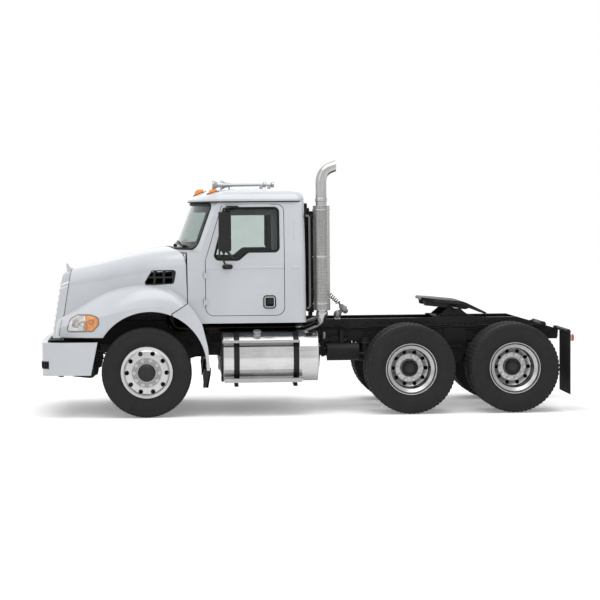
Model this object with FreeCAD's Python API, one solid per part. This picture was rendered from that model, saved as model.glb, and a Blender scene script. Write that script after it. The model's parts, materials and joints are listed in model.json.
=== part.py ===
import FreeCAD, Part
import math
import os

V = FreeCAD.Vector

# Semi truck tractor unit with three axles, day cab and fifth wheel.
# Millimetres. Stations run back from the front axle, +Y is the right-hand side,
# heights are above the road. At the end every piece moves forward by centre_station,
# so that the origin lies on the road under the middle of the truck.

# Overall stations
front_end = -1235.0
rear_end = 5000.0
centre_station = (front_end + rear_end) / 2

# Axles
drive_axle_1 = 3085.0
axle_spacing = 1220.0
drive_axle_2 = drive_axle_1 + axle_spacing
hub_height = 525.0

# Tyres and wheels
tyre_radius = 525.0
tyre_width = 276.0
tyre_bead_radius = 286.0
rim_radius = 300.0
rim_width = 210.0
rim_wall = 11.0
drop_centre_radius = 246.0
front_rim_middle = 1066.0
dual_outer_middle = 1082.0
dual_spacing = 343.0
disc_thickness = 22.0
hand_hole_radius = 27.0
rear_hand_hole_radius = 24.0
hand_hole_count = 10
hub_radius = 108.0
hub_cap_radius = 72.0
drum_radius = 205.0
spindle_radius = 42.0
running_gap = 0.5
moving_gap = 6.0
seat_gap = 0.3

# Steering
kingpin_offset = 870.0
kingpin_radius = 22.0
steering_arm_length = 200.0
tie_rod_radius = 22.0
tie_rod_height = 372.0
ball_stud_radius = 11.0

# Frame
rail_outer = 430.0
rail_height = 268.0
rail_flange = 85.0
rail_wall = 9.0
rail_top = 1085.0
rail_front = -760.0
rail_rear = 4940.0
rail_taper_start = 4450.0
rail_taper_drop = 148.0
rail_bottom = rail_top - rail_height

# Bumper
bumper_top = 882.0
bumper_bottom = 500.0
bumper_half_width = 1180.0
bumper_wall = 14.0
bumper_flange = 62.0
bumper_corner_radius = 150.0

# Hood
hood_wall = 13.0
hood_foot = 937.0
hood_seam_gap = 8.0
hinge_station = -1130.0
hinge_height = 895.0
hinge_pin_radius = 12.0
hinge_ear_inner = 405.0
hinge_ear_thickness = 24.0
arch_station = 45.0
arch_height = 580.0
arch_radius = 650.0
liner_inner_side = 610.0

# Grille
grille_foot_station = -1123.0
grille_foot_height = 895.0
grille_lean = 0.1645
grille_depth = 92.0
grille_rim = 46.0
grille_bar_count = 8
grille_bar_height = 30.0
grille_bar_depth = 34.0

# Cab
cab_floor = 1080.0
cab_wall = 50.0
belt_height = 1794.0
cowl_height = 1920.0
cab_top = 2505.0
cab_rear = 1858.0
cab_corner_radius = 70.0
cab_half_width = 1050.0
roof_top = 2648.0
roof_wall = 25.0
roof_overhang = 22.0
pane_thickness = 6.0
pane_recess = 14.0
pane_gap = 0.3

# Doors
door_gap = 7.0
door_front = 690.0
door_rear = 1620.0
door_foot = 1165.0
door_head = 2470.0
door_hinge_station = 680.0
door_hinge_side = 1053.0
door_corner_radius = 100.0
door_hinge_heights = (1330.0, 1640.0)
door_barrel_radius = 10.0
door_barrel_half = 30.0
door_pin_radius = 5.0

# Fuel tanks and steps
tank_radius = 290.0
tank_front = 843.0
tank_rear = 2030.0
tank_side = 920.0
tank_height = 680.0
tank_end_bulge = 38.0
strap_width = 66.0
strap_thickness = 6.0
strap_stations = (1046.0, 1740.0)
upper_step_height = 885.0
lower_step_height = 440.0
step_depth = 120.0
step_outer = 1225.0
step_thickness = 26.0

# Exhaust stack
stack_station = 2062.0
stack_side = -900.0
pipe_radius = 64.0
stack_top = 2977.0
shield_radius = 98.0
shield_foot = 1219.0
shield_head = 2440.0

# Fifth wheel
fifth_wheel_station = 3690.0
fifth_wheel_pivot_height = 1200.0
fifth_wheel_rest_tilt = 6.0
plate_front = -398.0
plate_half_width = 455.0
plate_rise = 88.0
plate_thickness = 36.0
ramp_start = 110.0
ramp_end = 425.0
ramp_drop = 112.0
kingpin_bore_radius = 25.7
plate_pin_radius = 20.0


# Basic shapes

def box(x0, x1, y0, y1, z0, z1):
    return Part.makeBox(x1 - x0, y1 - y0, z1 - z0, V(x0, y0, z0))


def rod(radius, start, end):
    axis = end.sub(start)
    return Part.makeCylinder(radius, axis.Length, start, axis)


def tube(outer, inner, start, end):
    return rod(outer, start, end).cut(rod(inner, start, end))


def across(radius, station, height, y0, y1):
    """Round bar that lies across the truck."""
    return rod(radius, V(station, y0, height), V(station, y1, height))


def upright(radius, station, side, z0, z1):
    return rod(radius, V(station, side, z0), V(station, side, z1))


def rounded_wire(corners, radius):
    """Closed wire with each corner rounded; radius is one number or one for each corner."""
    count = len(corners)
    radii = radius if isinstance(radius, (list, tuple)) else [radius] * count
    bends = []
    for index, corner in enumerate(corners):
        before = (corners[index - 1] - corner).normalize()
        after = (corners[(index + 1) % count] - corner).normalize()
        if radii[index] <= 0:
            bends.append((corner, None, corner))
            continue
        half_angle = before.getAngle(after) / 2
        reach = radii[index] / math.tan(half_angle)
        bulge = radii[index] / math.sin(half_angle) - radii[index]
        toward = (before + after).normalize()
        bends.append((corner + before * reach, corner + toward * bulge, corner + after * reach))
    edges = []
    for index, (start, middle, end) in enumerate(bends):
        if middle is not None:
            edges.append(Part.Arc(start, middle, end).toShape())
        following = bends[(index + 1) % count][0]
        if (following - end).Length > 1e-6:
            edges.append(Part.makeLine(end, following))
    return Part.Wire(edges)


def side_wire(points, y, radius=0.0):
    """Outline of (station, height) points at side y."""
    return rounded_wire([V(x, y, z) for x, z in points], radius)


def side_plate(points, y0, y1, radius=0.0):
    """Side-view outline given a width across the truck."""
    return Part.Face(side_wire(points, y0, radius)).extrude(V(0, y1 - y0, 0))


def plan_plate(points, z0, z1, radius=0.0):
    wire = rounded_wire([V(x, y, z0) for x, y in points], radius)
    return Part.Face(wire).extrude(V(0, 0, z1 - z0))


def front_plate(points, x0, x1, radius=0.0):
    """Front-view outline of (side, height) points, carried along the truck."""
    wire = rounded_wire([V(x0, y, z) for y, z in points], radius)
    return Part.Face(wire).extrude(V(x1 - x0, 0, 0))


def turned(profile, station, height):
    """Solid turned about an axle line, from (side, radius) points."""
    face = Part.Face(Part.makePolygon([V(station, y, height + r) for y, r in profile + profile[:1]]))
    return face.revolve(V(station, 0, height), V(0, 1, 0), 360)


def mirrored(shape):
    return shape.mirror(V(0, 0, 0), V(0, 1, 0))


def both_sides(solids):
    return list(solids) + [mirrored(solid) for solid in solids]


def joined(solids):
    result = solids[0].fuse(solids[1:]) if len(solids) > 1 else solids[0]
    return result.removeSplitter()


def bent_path(points, radii):
    """Straight runs joined by tangent arcs."""
    edges = []
    start = points[0]
    for index in range(1, len(points) - 1):
        corner = points[index]
        before = (points[index - 1] - corner).normalize()
        after = (points[index + 1] - corner).normalize()
        half_angle = before.getAngle(after) / 2
        radius = radii[index - 1]
        reach = radius / math.tan(half_angle)
        toward = (before + after).normalize()
        bulge = radius / math.sin(half_angle) - radius
        entry = corner + before * reach
        leave = corner + after * reach
        edges.append(Part.makeLine(start, entry))
        edges.append(Part.Arc(entry, corner + toward * bulge, leave).toShape())
        start = leave
    edges.append(Part.makeLine(start, points[-1]))
    return Part.Wire(edges)


def route_radii(points):
    """Arc radius at each inner corner, from 0.45 of the shorter run beside it."""
    radii = []
    for before, corner, after in zip(points, points[1:], points[2:]):
        half_angle = (before - corner).getAngle(after - corner) / 2
        radii.append(0.45 * min((corner - before).Length, (after - corner).Length) * math.tan(half_angle))
    return radii


def bent_tube(points, radii, outer):
    path = bent_path(points, radii)
    direction = points[1] - points[0]
    ring = Part.Wire([Part.makeCircle(outer, points[0], direction)])
    return path.makePipeShell([ring], True, True)


def loft(wires, ruled=False):
    return Part.makeLoft(wires, True, ruled)


pieces = {}


def keep(name, solids):
    """Records the solids of one named piece."""
    group = []
    for shape in solids if isinstance(solids, (list, tuple)) else [solids]:
        group.extend(shape.Solids)
    pieces[name] = group


# Wheels, drawn on the right-hand side about their axle lines

rim_lip = 12.0
bead_gap = 0.3
seat_radius = tyre_bead_radius - bead_gap
half_rim = rim_width / 2
hub_bore = spindle_radius + running_gap
front_hole_circle = 230.0
rear_hole_circle = 192.0
rear_hub_radius = 98.0
axle_end_gap = 10.0
front_cap_end = front_rim_middle + half_rim + 84.0
rear_cap_end = dual_outer_middle - 34.0


def tyre(station, middle):
    half = tyre_width / 2
    seat = half_rim - rim_lip - bead_gap
    flank = [(seat, tyre_bead_radius), (seat, rim_radius + 2), (half, tyre_radius * 0.735),
             (half - 5, tyre_radius * 0.9), (half - 30, tyre_radius)]
    profile = [(middle + side, radius) for side, radius in flank]
    profile += [(middle - side, radius) for side, radius in reversed(flank)]
    return turned(profile, station, hub_height)


def barrel_outside(middle):
    """Tyre side of a rim, from its outer lip to its inner lip."""
    half = half_rim
    points = [(half, rim_radius), (half - rim_lip, rim_radius), (half - rim_lip, seat_radius),
              (half - 43, seat_radius - 2), (half - 67, drop_centre_radius + 2),
              (27 - half + 52, drop_centre_radius + 2), (52 - half, seat_radius - 2),
              (rim_lip - half, seat_radius), (rim_lip - half, rim_radius), (-half, rim_radius)]
    return [(middle + side, radius) for side, radius in points]


def hand_holes(station, circle, radius, y0, y1):
    holes = []
    for index in range(hand_hole_count):
        angle = 2 * math.pi * (index + 0.5) / hand_hole_count
        holes.append(across(radius, station + circle * math.sin(angle),
                            hub_height + circle * math.cos(angle), y0, y1))
    return holes


def drum_outline(open_side, web_side):
    """Brake drum below a wheel, with its hub body and spindle bore."""
    return [(web_side, hub_radius - 16), (web_side, drum_radius), (open_side, drum_radius),
            (open_side, drum_radius - 15), (web_side - 14, drum_radius - 15),
            (web_side - 14, hub_radius - 16), (open_side, hub_radius - 16), (open_side, hub_bore)]


def front_wheel(station):
    """Convex disc, hub with its cap, and drum."""
    plane = front_rim_middle + half_rim
    inner = front_rim_middle - half_rim
    face = plane + 21
    back = face - disc_thickness
    profile = barrel_outside(front_rim_middle)
    profile += [(inner, seat_radius - 11), (inner + 43, seat_radius - 13),
                (inner + 74, drop_centre_radius - rim_wall), (plane - 71, drop_centre_radius - rim_wall),
                (plane - 45, seat_radius - 14), (back - 14, seat_radius - 40), (back, 190)]
    profile += [(back, hub_radius - 16)] + drum_outline(inner - 11, plane - 86)
    profile += [(face - axle_end_gap, hub_bore), (face - axle_end_gap, 0), (front_cap_end, 0),
                (front_cap_end, hub_cap_radius - 22), (front_cap_end - 12, hub_cap_radius),
                (face + 16, hub_cap_radius + 4), (face + 16, hub_radius), (face, hub_radius + 4),
                (face - 2, 190), (face - 9, seat_radius - 40), (plane - 7, seat_radius - 16),
                (plane, rim_radius - 9)]
    wheel = turned(profile, station, hub_height)
    return wheel.cut(hand_holes(station, front_hole_circle, hand_hole_radius, back - 30, face + 10))


def dual_wheel(station):
    """Two rims on one pair of discs, with the hub, its end and the drum."""
    plane = dual_outer_middle + half_rim
    inner = dual_outer_middle - half_rim
    second = dual_outer_middle - dual_spacing
    second_plane = second + half_rim
    second_inner = second - half_rim
    meet = (inner + second_plane) / 2
    waist = drop_centre_radius - rim_wall
    profile = barrel_outside(dual_outer_middle)
    profile += [(inner, seat_radius - 11), (meet + 32, 236), (meet + 4, 180), (meet - 4, 180),
                (meet - 32, 236), (second_plane, seat_radius - 11)]
    profile += barrel_outside(second)
    profile += [(second_inner, seat_radius - 11), (second_inner + 43, seat_radius - 13),
                (second_inner + 74, waist), (second_plane - 62, waist), (meet - 62, waist - 16),
                (meet - 30, 165), (meet - 26, hub_radius - 16)]
    profile += drum_outline(second_inner + 8, meet - 58)
    profile += [(rear_cap_end - 40, hub_bore), (rear_cap_end - 40, 0), (rear_cap_end, 0),
                (rear_cap_end, rear_hub_radius - 36), (rear_cap_end - 10, rear_hub_radius - 22),
                (rear_cap_end - 46, rear_hub_radius - 14), (rear_cap_end - 46, rear_hub_radius),
                (meet + 34, rear_hub_radius + 8), (meet + 28, 165), (meet + 62, waist - 16),
                (inner + 74, waist), (plane - 56, waist), (plane - 28, seat_radius - 12),
                (plane, rim_radius - 9)]
    wheel = turned(profile, station, hub_height)
    return wheel.cut(hand_holes(station, rear_hole_circle, rear_hand_hole_radius, meet - 54, meet + 70))


def wheels():
    right_tyre = tyre(0, front_rim_middle)
    right_wheel = front_wheel(0)
    keep("tyre_front_right", right_tyre)
    keep("tyre_front_left", mirrored(right_tyre))
    keep("wheel_front_right", right_wheel)
    keep("wheel_front_left", mirrored(right_wheel))
    for number, station in ((1, drive_axle_1), (2, drive_axle_2)):
        pair = [tyre(station, dual_outer_middle), tyre(station, dual_outer_middle - dual_spacing)]
        wheel = dual_wheel(station)
        keep("tyres_drive_%d_right" % number, pair)
        keep("tyres_drive_%d_left" % number, [mirrored(solid) for solid in pair])
        keep("wheel_drive_%d_right" % number, wheel)
        keep("wheel_drive_%d_left" % number, mirrored(wheel))


# Steering: axle beam with eyes, knuckles that fork round them, and the tie rod

eye_radius = 50.0
eye_foot = 470.0
eye_head = 580.0
fork_thickness = 52.0
beam_drop = 82.0
beam_depth = 112.0
beam_flat = 440.0
beam_top = eye_foot - beam_drop + beam_depth
knuckle_web_inner = kingpin_offset + 54
knuckle_web_outer = kingpin_offset + 72
tie_eye_radius = 32.0
tie_eye_height = 34.0


def front_axle():
    """Drop-centre beam with an I section and an eye at each end."""
    half = 52.0
    half_web = 18.0
    drop = eye_foot - beam_drop
    arm = [(beam_flat, drop), (640, drop + 20), (kingpin_offset - 40, eye_foot + 8),
           (kingpin_offset - 40, eye_head - 14), (600, eye_head - 50), (beam_flat, beam_top)]
    outline = [(-y, z) for y, z in reversed(arm)] + arm
    beam = front_plate(outline, -half, half)
    flank = [(y, z + (16 if index < 3 else -16)) for index, (y, z) in enumerate(arm)]
    flank = [(min(y, kingpin_offset - 66), z) for y, z in flank]
    pocket_outline = [(-y, z) for y, z in reversed(flank)] + flank
    pockets = [front_plate(pocket_outline, half_web, half + 1),
               front_plate(pocket_outline, -half - 1, -half_web)]
    eye = upright(eye_radius, 0, kingpin_offset, eye_foot, eye_head)
    pin_hole = upright(kingpin_radius + running_gap, 0, kingpin_offset, eye_foot - 1, eye_head + 1)
    keep("front_axle", joined([beam.cut(pockets)] + both_sides([eye])).cut(both_sides([pin_hole])))


def knuckle():
    """Right-hand knuckle: forked ears, kingpin, web, spindle, arm and ball stud."""
    ears = []
    for foot in (eye_foot - moving_gap - fork_thickness, eye_head + moving_gap):
        ear = upright(eye_radius, 0, kingpin_offset, foot, foot + fork_thickness)
        bridge = box(-eye_radius, eye_radius, kingpin_offset, knuckle_web_outer,
                     foot, foot + fork_thickness)
        ears += [ear, bridge]
    foot = eye_foot - moving_gap - fork_thickness
    head = eye_head + moving_gap + fork_thickness
    web = box(-eye_radius, eye_radius, knuckle_web_inner, knuckle_web_outer, foot, head)
    pin = upright(kingpin_radius, 0, kingpin_offset, foot, head)
    spindle = across(spindle_radius, 0, hub_height, knuckle_web_inner,
                     front_rim_middle + half_rim + 21 - 2 * axle_end_gap)
    collar = across(spindle_radius + 24, 0, hub_height, knuckle_web_outer, knuckle_web_outer + 6)
    arm = box(0, steering_arm_length, kingpin_offset - 26, kingpin_offset + 26, foot, foot + 34)
    arm_end = upright(26, steering_arm_length, kingpin_offset, foot, foot + 34)
    stud = upright(ball_stud_radius, steering_arm_length, kingpin_offset,
                   tie_rod_height - tie_eye_height / 2 - 8, foot)
    return joined(ears + [web, pin, spindle, collar, arm, arm_end, stud])


def tie_rod():
    """Straight rod between the two steering arms, with an eye round each ball stud."""
    low = tie_rod_height - tie_eye_height / 2
    rod_body = across(tie_rod_radius, steering_arm_length, tie_rod_height,
                      -kingpin_offset + 20, kingpin_offset - 20)
    eye = upright(tie_eye_radius, steering_arm_length, kingpin_offset, low, low + tie_eye_height)
    hole = upright(ball_stud_radius + running_gap, steering_arm_length, kingpin_offset,
                   low - 20, low + tie_eye_height + 20)
    keep("tie_rod", joined([rod_body] + both_sides([eye])).cut(both_sides([hole])))


def steering():
    front_axle()
    right = knuckle()
    keep("knuckle_right", right)
    keep("knuckle_left", mirrored(right))
    tie_rod()


# Frame

def rail():
    """Right-hand channel rail, open toward the middle, with its tapered tail."""
    side = [(rail_front, rail_bottom), (rail_rear, rail_bottom),
            (rail_rear, rail_top - rail_taper_drop), (rail_taper_start, rail_top),
            (rail_front, rail_top)]
    inside = [(rail_front - 1, rail_bottom + rail_wall), (rail_rear + 1, rail_bottom + rail_wall),
              (rail_rear + 1, rail_top - rail_taper_drop - rail_wall),
              (rail_taper_start, rail_top - rail_wall), (rail_front - 1, rail_top - rail_wall)]
    channel = side_plate(side, rail_outer - rail_flange, rail_outer)
    return channel.cut(side_plate(inside, rail_outer - rail_flange - 1, rail_outer - rail_wall))


cross_depth = 40.0
cross_wall = 8.0
cross_stations = (1960.0, 2560.0, 3560.0, 3890.0, 4860.0)


def crossmembers():
    """Channel pieces between the webs of the rails."""
    inner = rail_outer - rail_wall
    members = []
    for station in cross_stations:
        low = rail_bottom + rail_wall + 30
        high = rail_top - rail_wall - 30
        if station > rail_taper_start:
            high -= rail_taper_drop
        outer = box(station - cross_depth, station + cross_depth, -inner, inner, low, high)
        channel = box(station - cross_depth + cross_wall, station + cross_depth + 1,
                      cross_wall - inner, inner - cross_wall, low + cross_wall, high - cross_wall)
        members.append(outer.cut(channel))
    keep("crossmembers", members)


horn_thickness = 22.0
horn_lap = 160.0
hinge_eye_radius = 26.0
horn_side = rail_outer - rail_wall - horn_thickness


def frame_horns():
    """Plates inside the rail fronts that carry the bumper and the hood pivots."""
    low = rail_bottom + rail_wall + seat_gap
    high = rail_top - 60
    pad_back = front_end + bumper_wall + 26
    foot = bumper_bottom + 70
    outline = [(rail_front + horn_lap, low), (rail_front + horn_lap, high), (rail_front - 120, high),
               (rail_front - 220, hood_underside), (hinge_station, hood_underside),
               (pad_back - 8, bumper_top - 90), (pad_back - 8, foot), (pad_back + 90, foot),
               (rail_front - 8, rail_bottom - 70), (rail_front - 8, low)]
    plate = side_plate(outline, horn_side - horn_thickness, horn_side)
    eye = across(hinge_eye_radius, hinge_station, hinge_height, horn_side - horn_thickness, horn_side)
    pad = box(front_end, pad_back, horn_side - 150, horn_side, foot, bumper_top - 90)
    pad = pad.common(bumper_prism(bumper_wall + seat_gap, bumper_bottom, bumper_top))
    pin = across(hinge_pin_radius, hinge_station, hinge_height, horn_side - horn_thickness,
                 hinge_ear_inner + hinge_ear_thickness + 16)
    packer = box(rail_front, rail_front + horn_lap, horn_side, rail_outer - rail_wall,
                 rail_bottom + 60, rail_top - 90)
    cross = across(38, rail_front - 120, rail_bottom - 60, -horn_side + horn_thickness,
                   horn_side - horn_thickness)
    side = joined([plate, eye, pad, pin, packer])
    keep("frame_horns", joined([side, mirrored(side), cross]))


def bumper_plan(inset):
    """Plan outline of the bumper, bowed in front, round at its corners, open at the rear."""
    front = front_end + inset
    side = bumper_half_width - inset
    tail = -540.0
    corner = bumper_corner_radius - inset
    swell = 30.0
    start = V(tail, -side, 0)
    bend_in = V(front + swell + corner, -side, 0)
    bend_out = V(front + swell * 0.75, -side + corner, 0)
    knee = V(front + swell + corner * 0.28, -side + corner * 0.26, 0)
    return start, bend_in, knee, bend_out, V(front, 0, 0)


def bumper_prism(inset, low, high):
    start, bend_in, knee, bend_out, nose = bumper_plan(inset)

    def flip(point):
        return V(point.x, -point.y, 0)
    edges = [Part.makeLine(start, bend_in), Part.Arc(bend_in, knee, bend_out).toShape(),
             Part.Arc(bend_out, nose, flip(bend_out)).toShape(),
             Part.Arc(flip(bend_out), flip(knee), flip(bend_in)).toShape(),
             Part.makeLine(flip(bend_in), flip(start)), Part.makeLine(flip(start), start)]
    prism = Part.Face(Part.Wire(edges)).extrude(V(0, 0, high - low))
    prism.translate(V(0, 0, low))
    return prism


def bumper():
    outer = bumper_prism(0, bumper_bottom, bumper_top)
    hollow = bumper_prism(bumper_wall, bumper_bottom + bumper_wall, bumper_top - bumper_wall)
    back = bumper_prism(bumper_flange, bumper_bottom - 1, bumper_top + 1)
    shell = outer.cut([hollow, back])
    tail = [(-565, bumper_top + 1), (-645, bumper_bottom - 1), (-400, bumper_bottom - 1),
            (-400, bumper_top + 1)]
    shell = shell.cut(side_plate(tail, -bumper_half_width - 1, bumper_half_width + 1))
    slot = box(front_end - 5, front_end + 150, 840, 960, 585, 665)
    air_slot = front_plate([(-330, 560), (330, 560), (330, 640), (-330, 640)],
                           front_end - 5, front_end + 50, 24)
    keep("bumper", shell.cut(both_sides([slot]) + [air_slot]))


def frame():
    keep("frame_rails", both_sides([rail()]))
    crossmembers()
    frame_horns()
    bumper()


# Hood: bonnet and two fenders lofted from stations, made hollow, then opened

# Station, foot half width, shoulder half width, shoulder height, crown height
bonnet_stations = ((-1200.0, 470.0, 400.0, 1330.0, 1490.0),
                   (-960.0, 530.0, 470.0, 1500.0, 1676.0),
                   (-568.0, 690.0, 610.0, 1570.0, 1782.0),
                   (-204.0, 850.0, 770.0, 1640.0, 1884.0),
                   (221.0, 1000.0, 950.0, 1712.0, 1966.0),
                   (560.0, 1050.0, 1046.0, 1738.0, 1994.0))
# Station, outer half width, edge height, crest half width, crest height
fender_stations = ((-1062.0, 720.0, 1010.0, 560.0, 1090.0),
                   (-985.0, 935.0, 1055.0, 600.0, 1160.0),
                   (-850.0, 1060.0, 1095.0, 640.0, 1236.0),
                   (-480.0, 1165.0, 1190.0, 690.0, 1440.0),
                   (-125.0, 1198.0, 1270.0, 830.0, 1528.0),
                   (220.0, 1200.0, 1280.0, 950.0, 1508.0),
                   (400.0, 1196.0, 1230.0, 1000.0, 1412.0),
                   (540.0, 1185.0, 1130.0, 1030.0, 1265.0))
bonnet_foot = 900.0
hood_underside = bonnet_foot - moving_gap - 2
seam_low = (300.0, 1198.0)
seam_bend = (486.0, 1318.0)
seam_head = (476.0, 2010.0)
cowl_front = 232.0
cowl_corner = 482.0
cowl_half_width = 1038.0
cowl_foot = 1884.0
cowl_shelf = 22.0
lamp_gap = 0.3


def bonnet_section(station, foot, shoulder, shoulder_height, crown, inset, low):
    foot -= inset
    shoulder -= inset
    crown -= inset
    rise = crown - shoulder_height
    half = [V(station, shoulder, shoulder_height), V(station, shoulder * 0.955, shoulder_height + rise * 0.55),
            V(station, shoulder * 0.76, shoulder_height + rise * 0.86), V(station, 0, crown)]
    other = [V(station, -p.y, p.z) for p in reversed(half[:-1])]
    spline = Part.BSplineCurve()
    spline.interpolate(half + other)
    right_foot = V(station, foot, low)
    left_foot = V(station, -foot, low)
    return Part.Wire([Part.makeLine(left_foot, right_foot), Part.makeLine(right_foot, half[0]),
                      spline.toShape(), Part.makeLine(other[-1], left_foot)])


def bonnet_body(inset):
    low = bonnet_foot - (2 if inset else 0)
    sections = []
    for station, foot, shoulder, shoulder_height, crown in bonnet_stations:
        sections.append(bonnet_section(station, foot, shoulder, shoulder_height, crown, inset, low))
    return loft(sections)


def fender_section(station, outer, edge, crest_side, crest, inset, low):
    outer -= inset
    crest -= inset
    middle_side = crest_side + (outer - crest_side) * 0.66
    middle_height = edge + (crest - edge) * 0.72
    spline = Part.BSplineCurve()
    spline.interpolate([V(station, outer, edge), V(station, middle_side, middle_height),
                        V(station, crest_side, crest)])
    foot_in = V(station, 380, low)
    foot_out = V(station, outer, low)
    top_in = V(station, 380, crest)
    return Part.Wire([Part.makeLine(foot_in, foot_out), Part.makeLine(foot_out, V(station, outer, edge)),
                      spline.toShape(), Part.makeLine(V(station, crest_side, crest), top_in),
                      Part.makeLine(top_in, foot_in)])


def fender_body(inset):
    """Right-hand fender, from the lamp corner over the wheel to the seam."""
    low = hood_foot - (2 if inset else 0)
    sections = []
    for index, (station, outer, edge, crest_side, crest) in enumerate(fender_stations):
        if index == 0:
            station += inset
        sections.append(fender_section(station, outer, edge, crest_side, crest, inset, low))
    return loft(sections)


def front_slope(offset, reach):
    """Everything ahead of the leaning grille plane, moved back by offset."""
    low, high = 700.0, 2000.0

    def station(height):
        return grille_foot_station + offset + (height - grille_foot_height) * grille_lean
    return side_plate([(-1600, low), (station(low), low), (station(high), high), (-1600, high)],
                      -reach, reach)


def arch_cut(radius, y0, y1):
    return across(radius, arch_station, arch_height, y0, y1)


def behind_seam(gap):
    """Space behind the hood's rear seam and below its end at the arch."""
    low_x, low_z = seam_low
    bend_x, bend_z = seam_bend
    head_x, head_z = seam_head
    outline = [(low_x - gap, 400), (low_x - gap, low_z + gap), (bend_x - gap, bend_z + gap * 0.4),
               (head_x - gap, head_z + 60), (900, head_z + 60), (900, 400)]
    return side_plate(outline, -1400, 1400)


def rear_bow(gap):
    """Space behind the hood's rear edge in plan, further forward in the middle."""
    low = 1780.0
    far = 900.0
    corner = V(cowl_corner - gap, cowl_half_width, low)
    other = V(corner.x, -corner.y, low)
    edges = [Part.Arc(corner, V(cowl_front - gap, 0, low), other).toShape(),
             Part.makeLine(other, V(far, other.y, low)),
             Part.makeLine(V(far, other.y, low), V(far, corner.y, low)),
             Part.makeLine(V(far, corner.y, low), corner)]
    return Part.Face(Part.Wire(edges)).extrude(V(0, 0, 400))


lamp_outline = ((-925.0, 1008.0), (-620.0, 1012.0), (-548.0, 1092.0), (-560.0, 1172.0),
                (-650.0, 1198.0), (-800.0, 1196.0), (-880.0, 1150.0))
vent_outline = ((-32.0, 1530.0), (322.0, 1552.0), (350.0, 1704.0), (70.0, 1698.0))


def lamp_prism(grow):
    """Almond outline of a headlamp, grown outward by the given gap."""
    wire = side_wire(lamp_outline, 600, (24, 40, 34, 40, 60, 60, 40))
    if grow:
        wire = wire.makeOffset2D(grow)
    return Part.Face(wire).extrude(V(0, 800, 0))


def vent_prism(grow):
    wire = side_wire(vent_outline, 700, 26)
    if grow:
        wire = wire.makeOffset2D(grow)
    return Part.Face(wire).extrude(V(0, 500, 0))


def hood_parts():
    """Bonnet and fender bodies, the skin they leave and the wheel arch linings."""
    bonnet = bonnet_body(0)
    fender = fender_body(0)
    lamp_room = lamp_prism(lamp_gap)
    outer = bonnet.fuse(both_sides([fender]))
    inner = bonnet_body(hood_wall).fuse(both_sides([fender_body(hood_wall)]))
    skin = outer.cut(inner)
    nose_cut = bonnet_body(-lamp_gap).common(front_slope(grille_depth, 1300))
    ahead = box(front_end, fender_stations[0][0] - 1, -560, 560, bonnet_foot - 10, 1700)
    arches = both_sides([arch_cut(arch_radius, 560, 1400)])
    skin = skin.cut([nose_cut, ahead, behind_seam(hood_seam_gap), rear_bow(hood_seam_gap)] + arches)
    skin = skin.cut(both_sides([lamp_room, vent_prism(0)]))
    liner = arch_cut(arch_radius + hood_wall, liner_inner_side, 1176)
    liner = liner.cut(arch_cut(arch_radius, liner_inner_side - 1, 1177))
    liner = liner.common(box(-900, 900, 500, 1300, hood_foot, 1400)).cut(behind_seam(hood_seam_gap))
    lining = both_sides([liner])
    return bonnet, fender, skin, lining


def hood_hinge_ear():
    """Cranked plate from the pivot, below the grille, up to the ring behind it."""
    y0 = hinge_ear_inner
    y1 = y0 + hinge_ear_thickness
    ring_front = hinge_station + 100
    low = hinge_height - hinge_eye_radius
    plate = side_plate([(hinge_station, low), (ring_front + 34, low), (ring_front + 44, 1010),
                        (ring_front + 22, 1010), (ring_front + 4, bonnet_foot - 2),
                        (hinge_station, bonnet_foot - 2)], y0, y1)
    eye = across(hinge_eye_radius, hinge_station, hinge_height, y0, y1)
    hole = across(hinge_pin_radius + running_gap, hinge_station, hinge_height, y0 - 1, y1 + 1)
    return joined([plate, eye]).cut(hole)


def grille(bonnet):
    """Tapered surround that carries on the bonnet's shape, with bowed cross bars."""
    nose = bonnet.common(front_slope(grille_depth - pane_gap, 1300)).cut(front_slope(0, 1300))
    hinge_room = across(hinge_eye_radius + moving_gap, hinge_station, hinge_height,
                        horn_side - horn_thickness - moving_gap, hinge_ear_inner + hinge_ear_thickness + 22)
    head = 1640.0
    foot = bonnet_foot + grille_rim
    opening = front_plate([(-430, foot), (430, foot), (372, 1330), (250, head - grille_rim * 1.4),
                           (-250, head - grille_rim * 1.4), (-372, 1330)], -1400, -700,
                          (50, 50, 300, 120, 120, 300))
    surround = nose.cut([opening] + both_sides([hinge_room]))
    bars = []
    for index in range(grille_bar_count):
        share = (index + 0.5) / grille_bar_count
        height = foot + 10 + share * (head - grille_rim * 1.4 - foot - 20)
        plane = grille_foot_station + (height - grille_foot_height) * grille_lean
        end_side = 445 - 60 * share ** 2.2
        ends = [V(plane + 40, side, height) for side in (-end_side, end_side)]
        back = 26.0
        outer = Part.Arc(ends[0], V(plane - 42, 0, height), ends[1]).toShape()
        inner = Part.Arc(ends[1] + V(back, 0, 0), V(plane - 42 + grille_bar_depth, 0, height),
                         ends[0] + V(back, 0, 0)).toShape()
        face = Part.Face(Part.Wire([outer, Part.makeLine(ends[1], ends[1] + V(back, 0, 0)), inner,
                                    Part.makeLine(ends[0] + V(back, 0, 0), ends[0])]))
        bar = face.extrude(V(0, 0, grille_bar_height))
        bar.translate(V(0, 0, -grille_bar_height / 2))
        bars.append(bar)
    posts = []
    for side in (-150, 0, 150):
        post = box(-1300, -700, side - 7, side + 7, foot - 20, head - grille_rim)
        slab = front_slope(grille_depth - pane_gap, 1300).cut(front_slope(grille_depth - 24, 1300))
        posts.append(post.common(slab))
    return joined([surround] + [bar.common(front_plate([(-440, 800), (440, 800), (440, 1700), (-440, 1700)],
                                                       -1400, -900)) for bar in bars] + posts)


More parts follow.
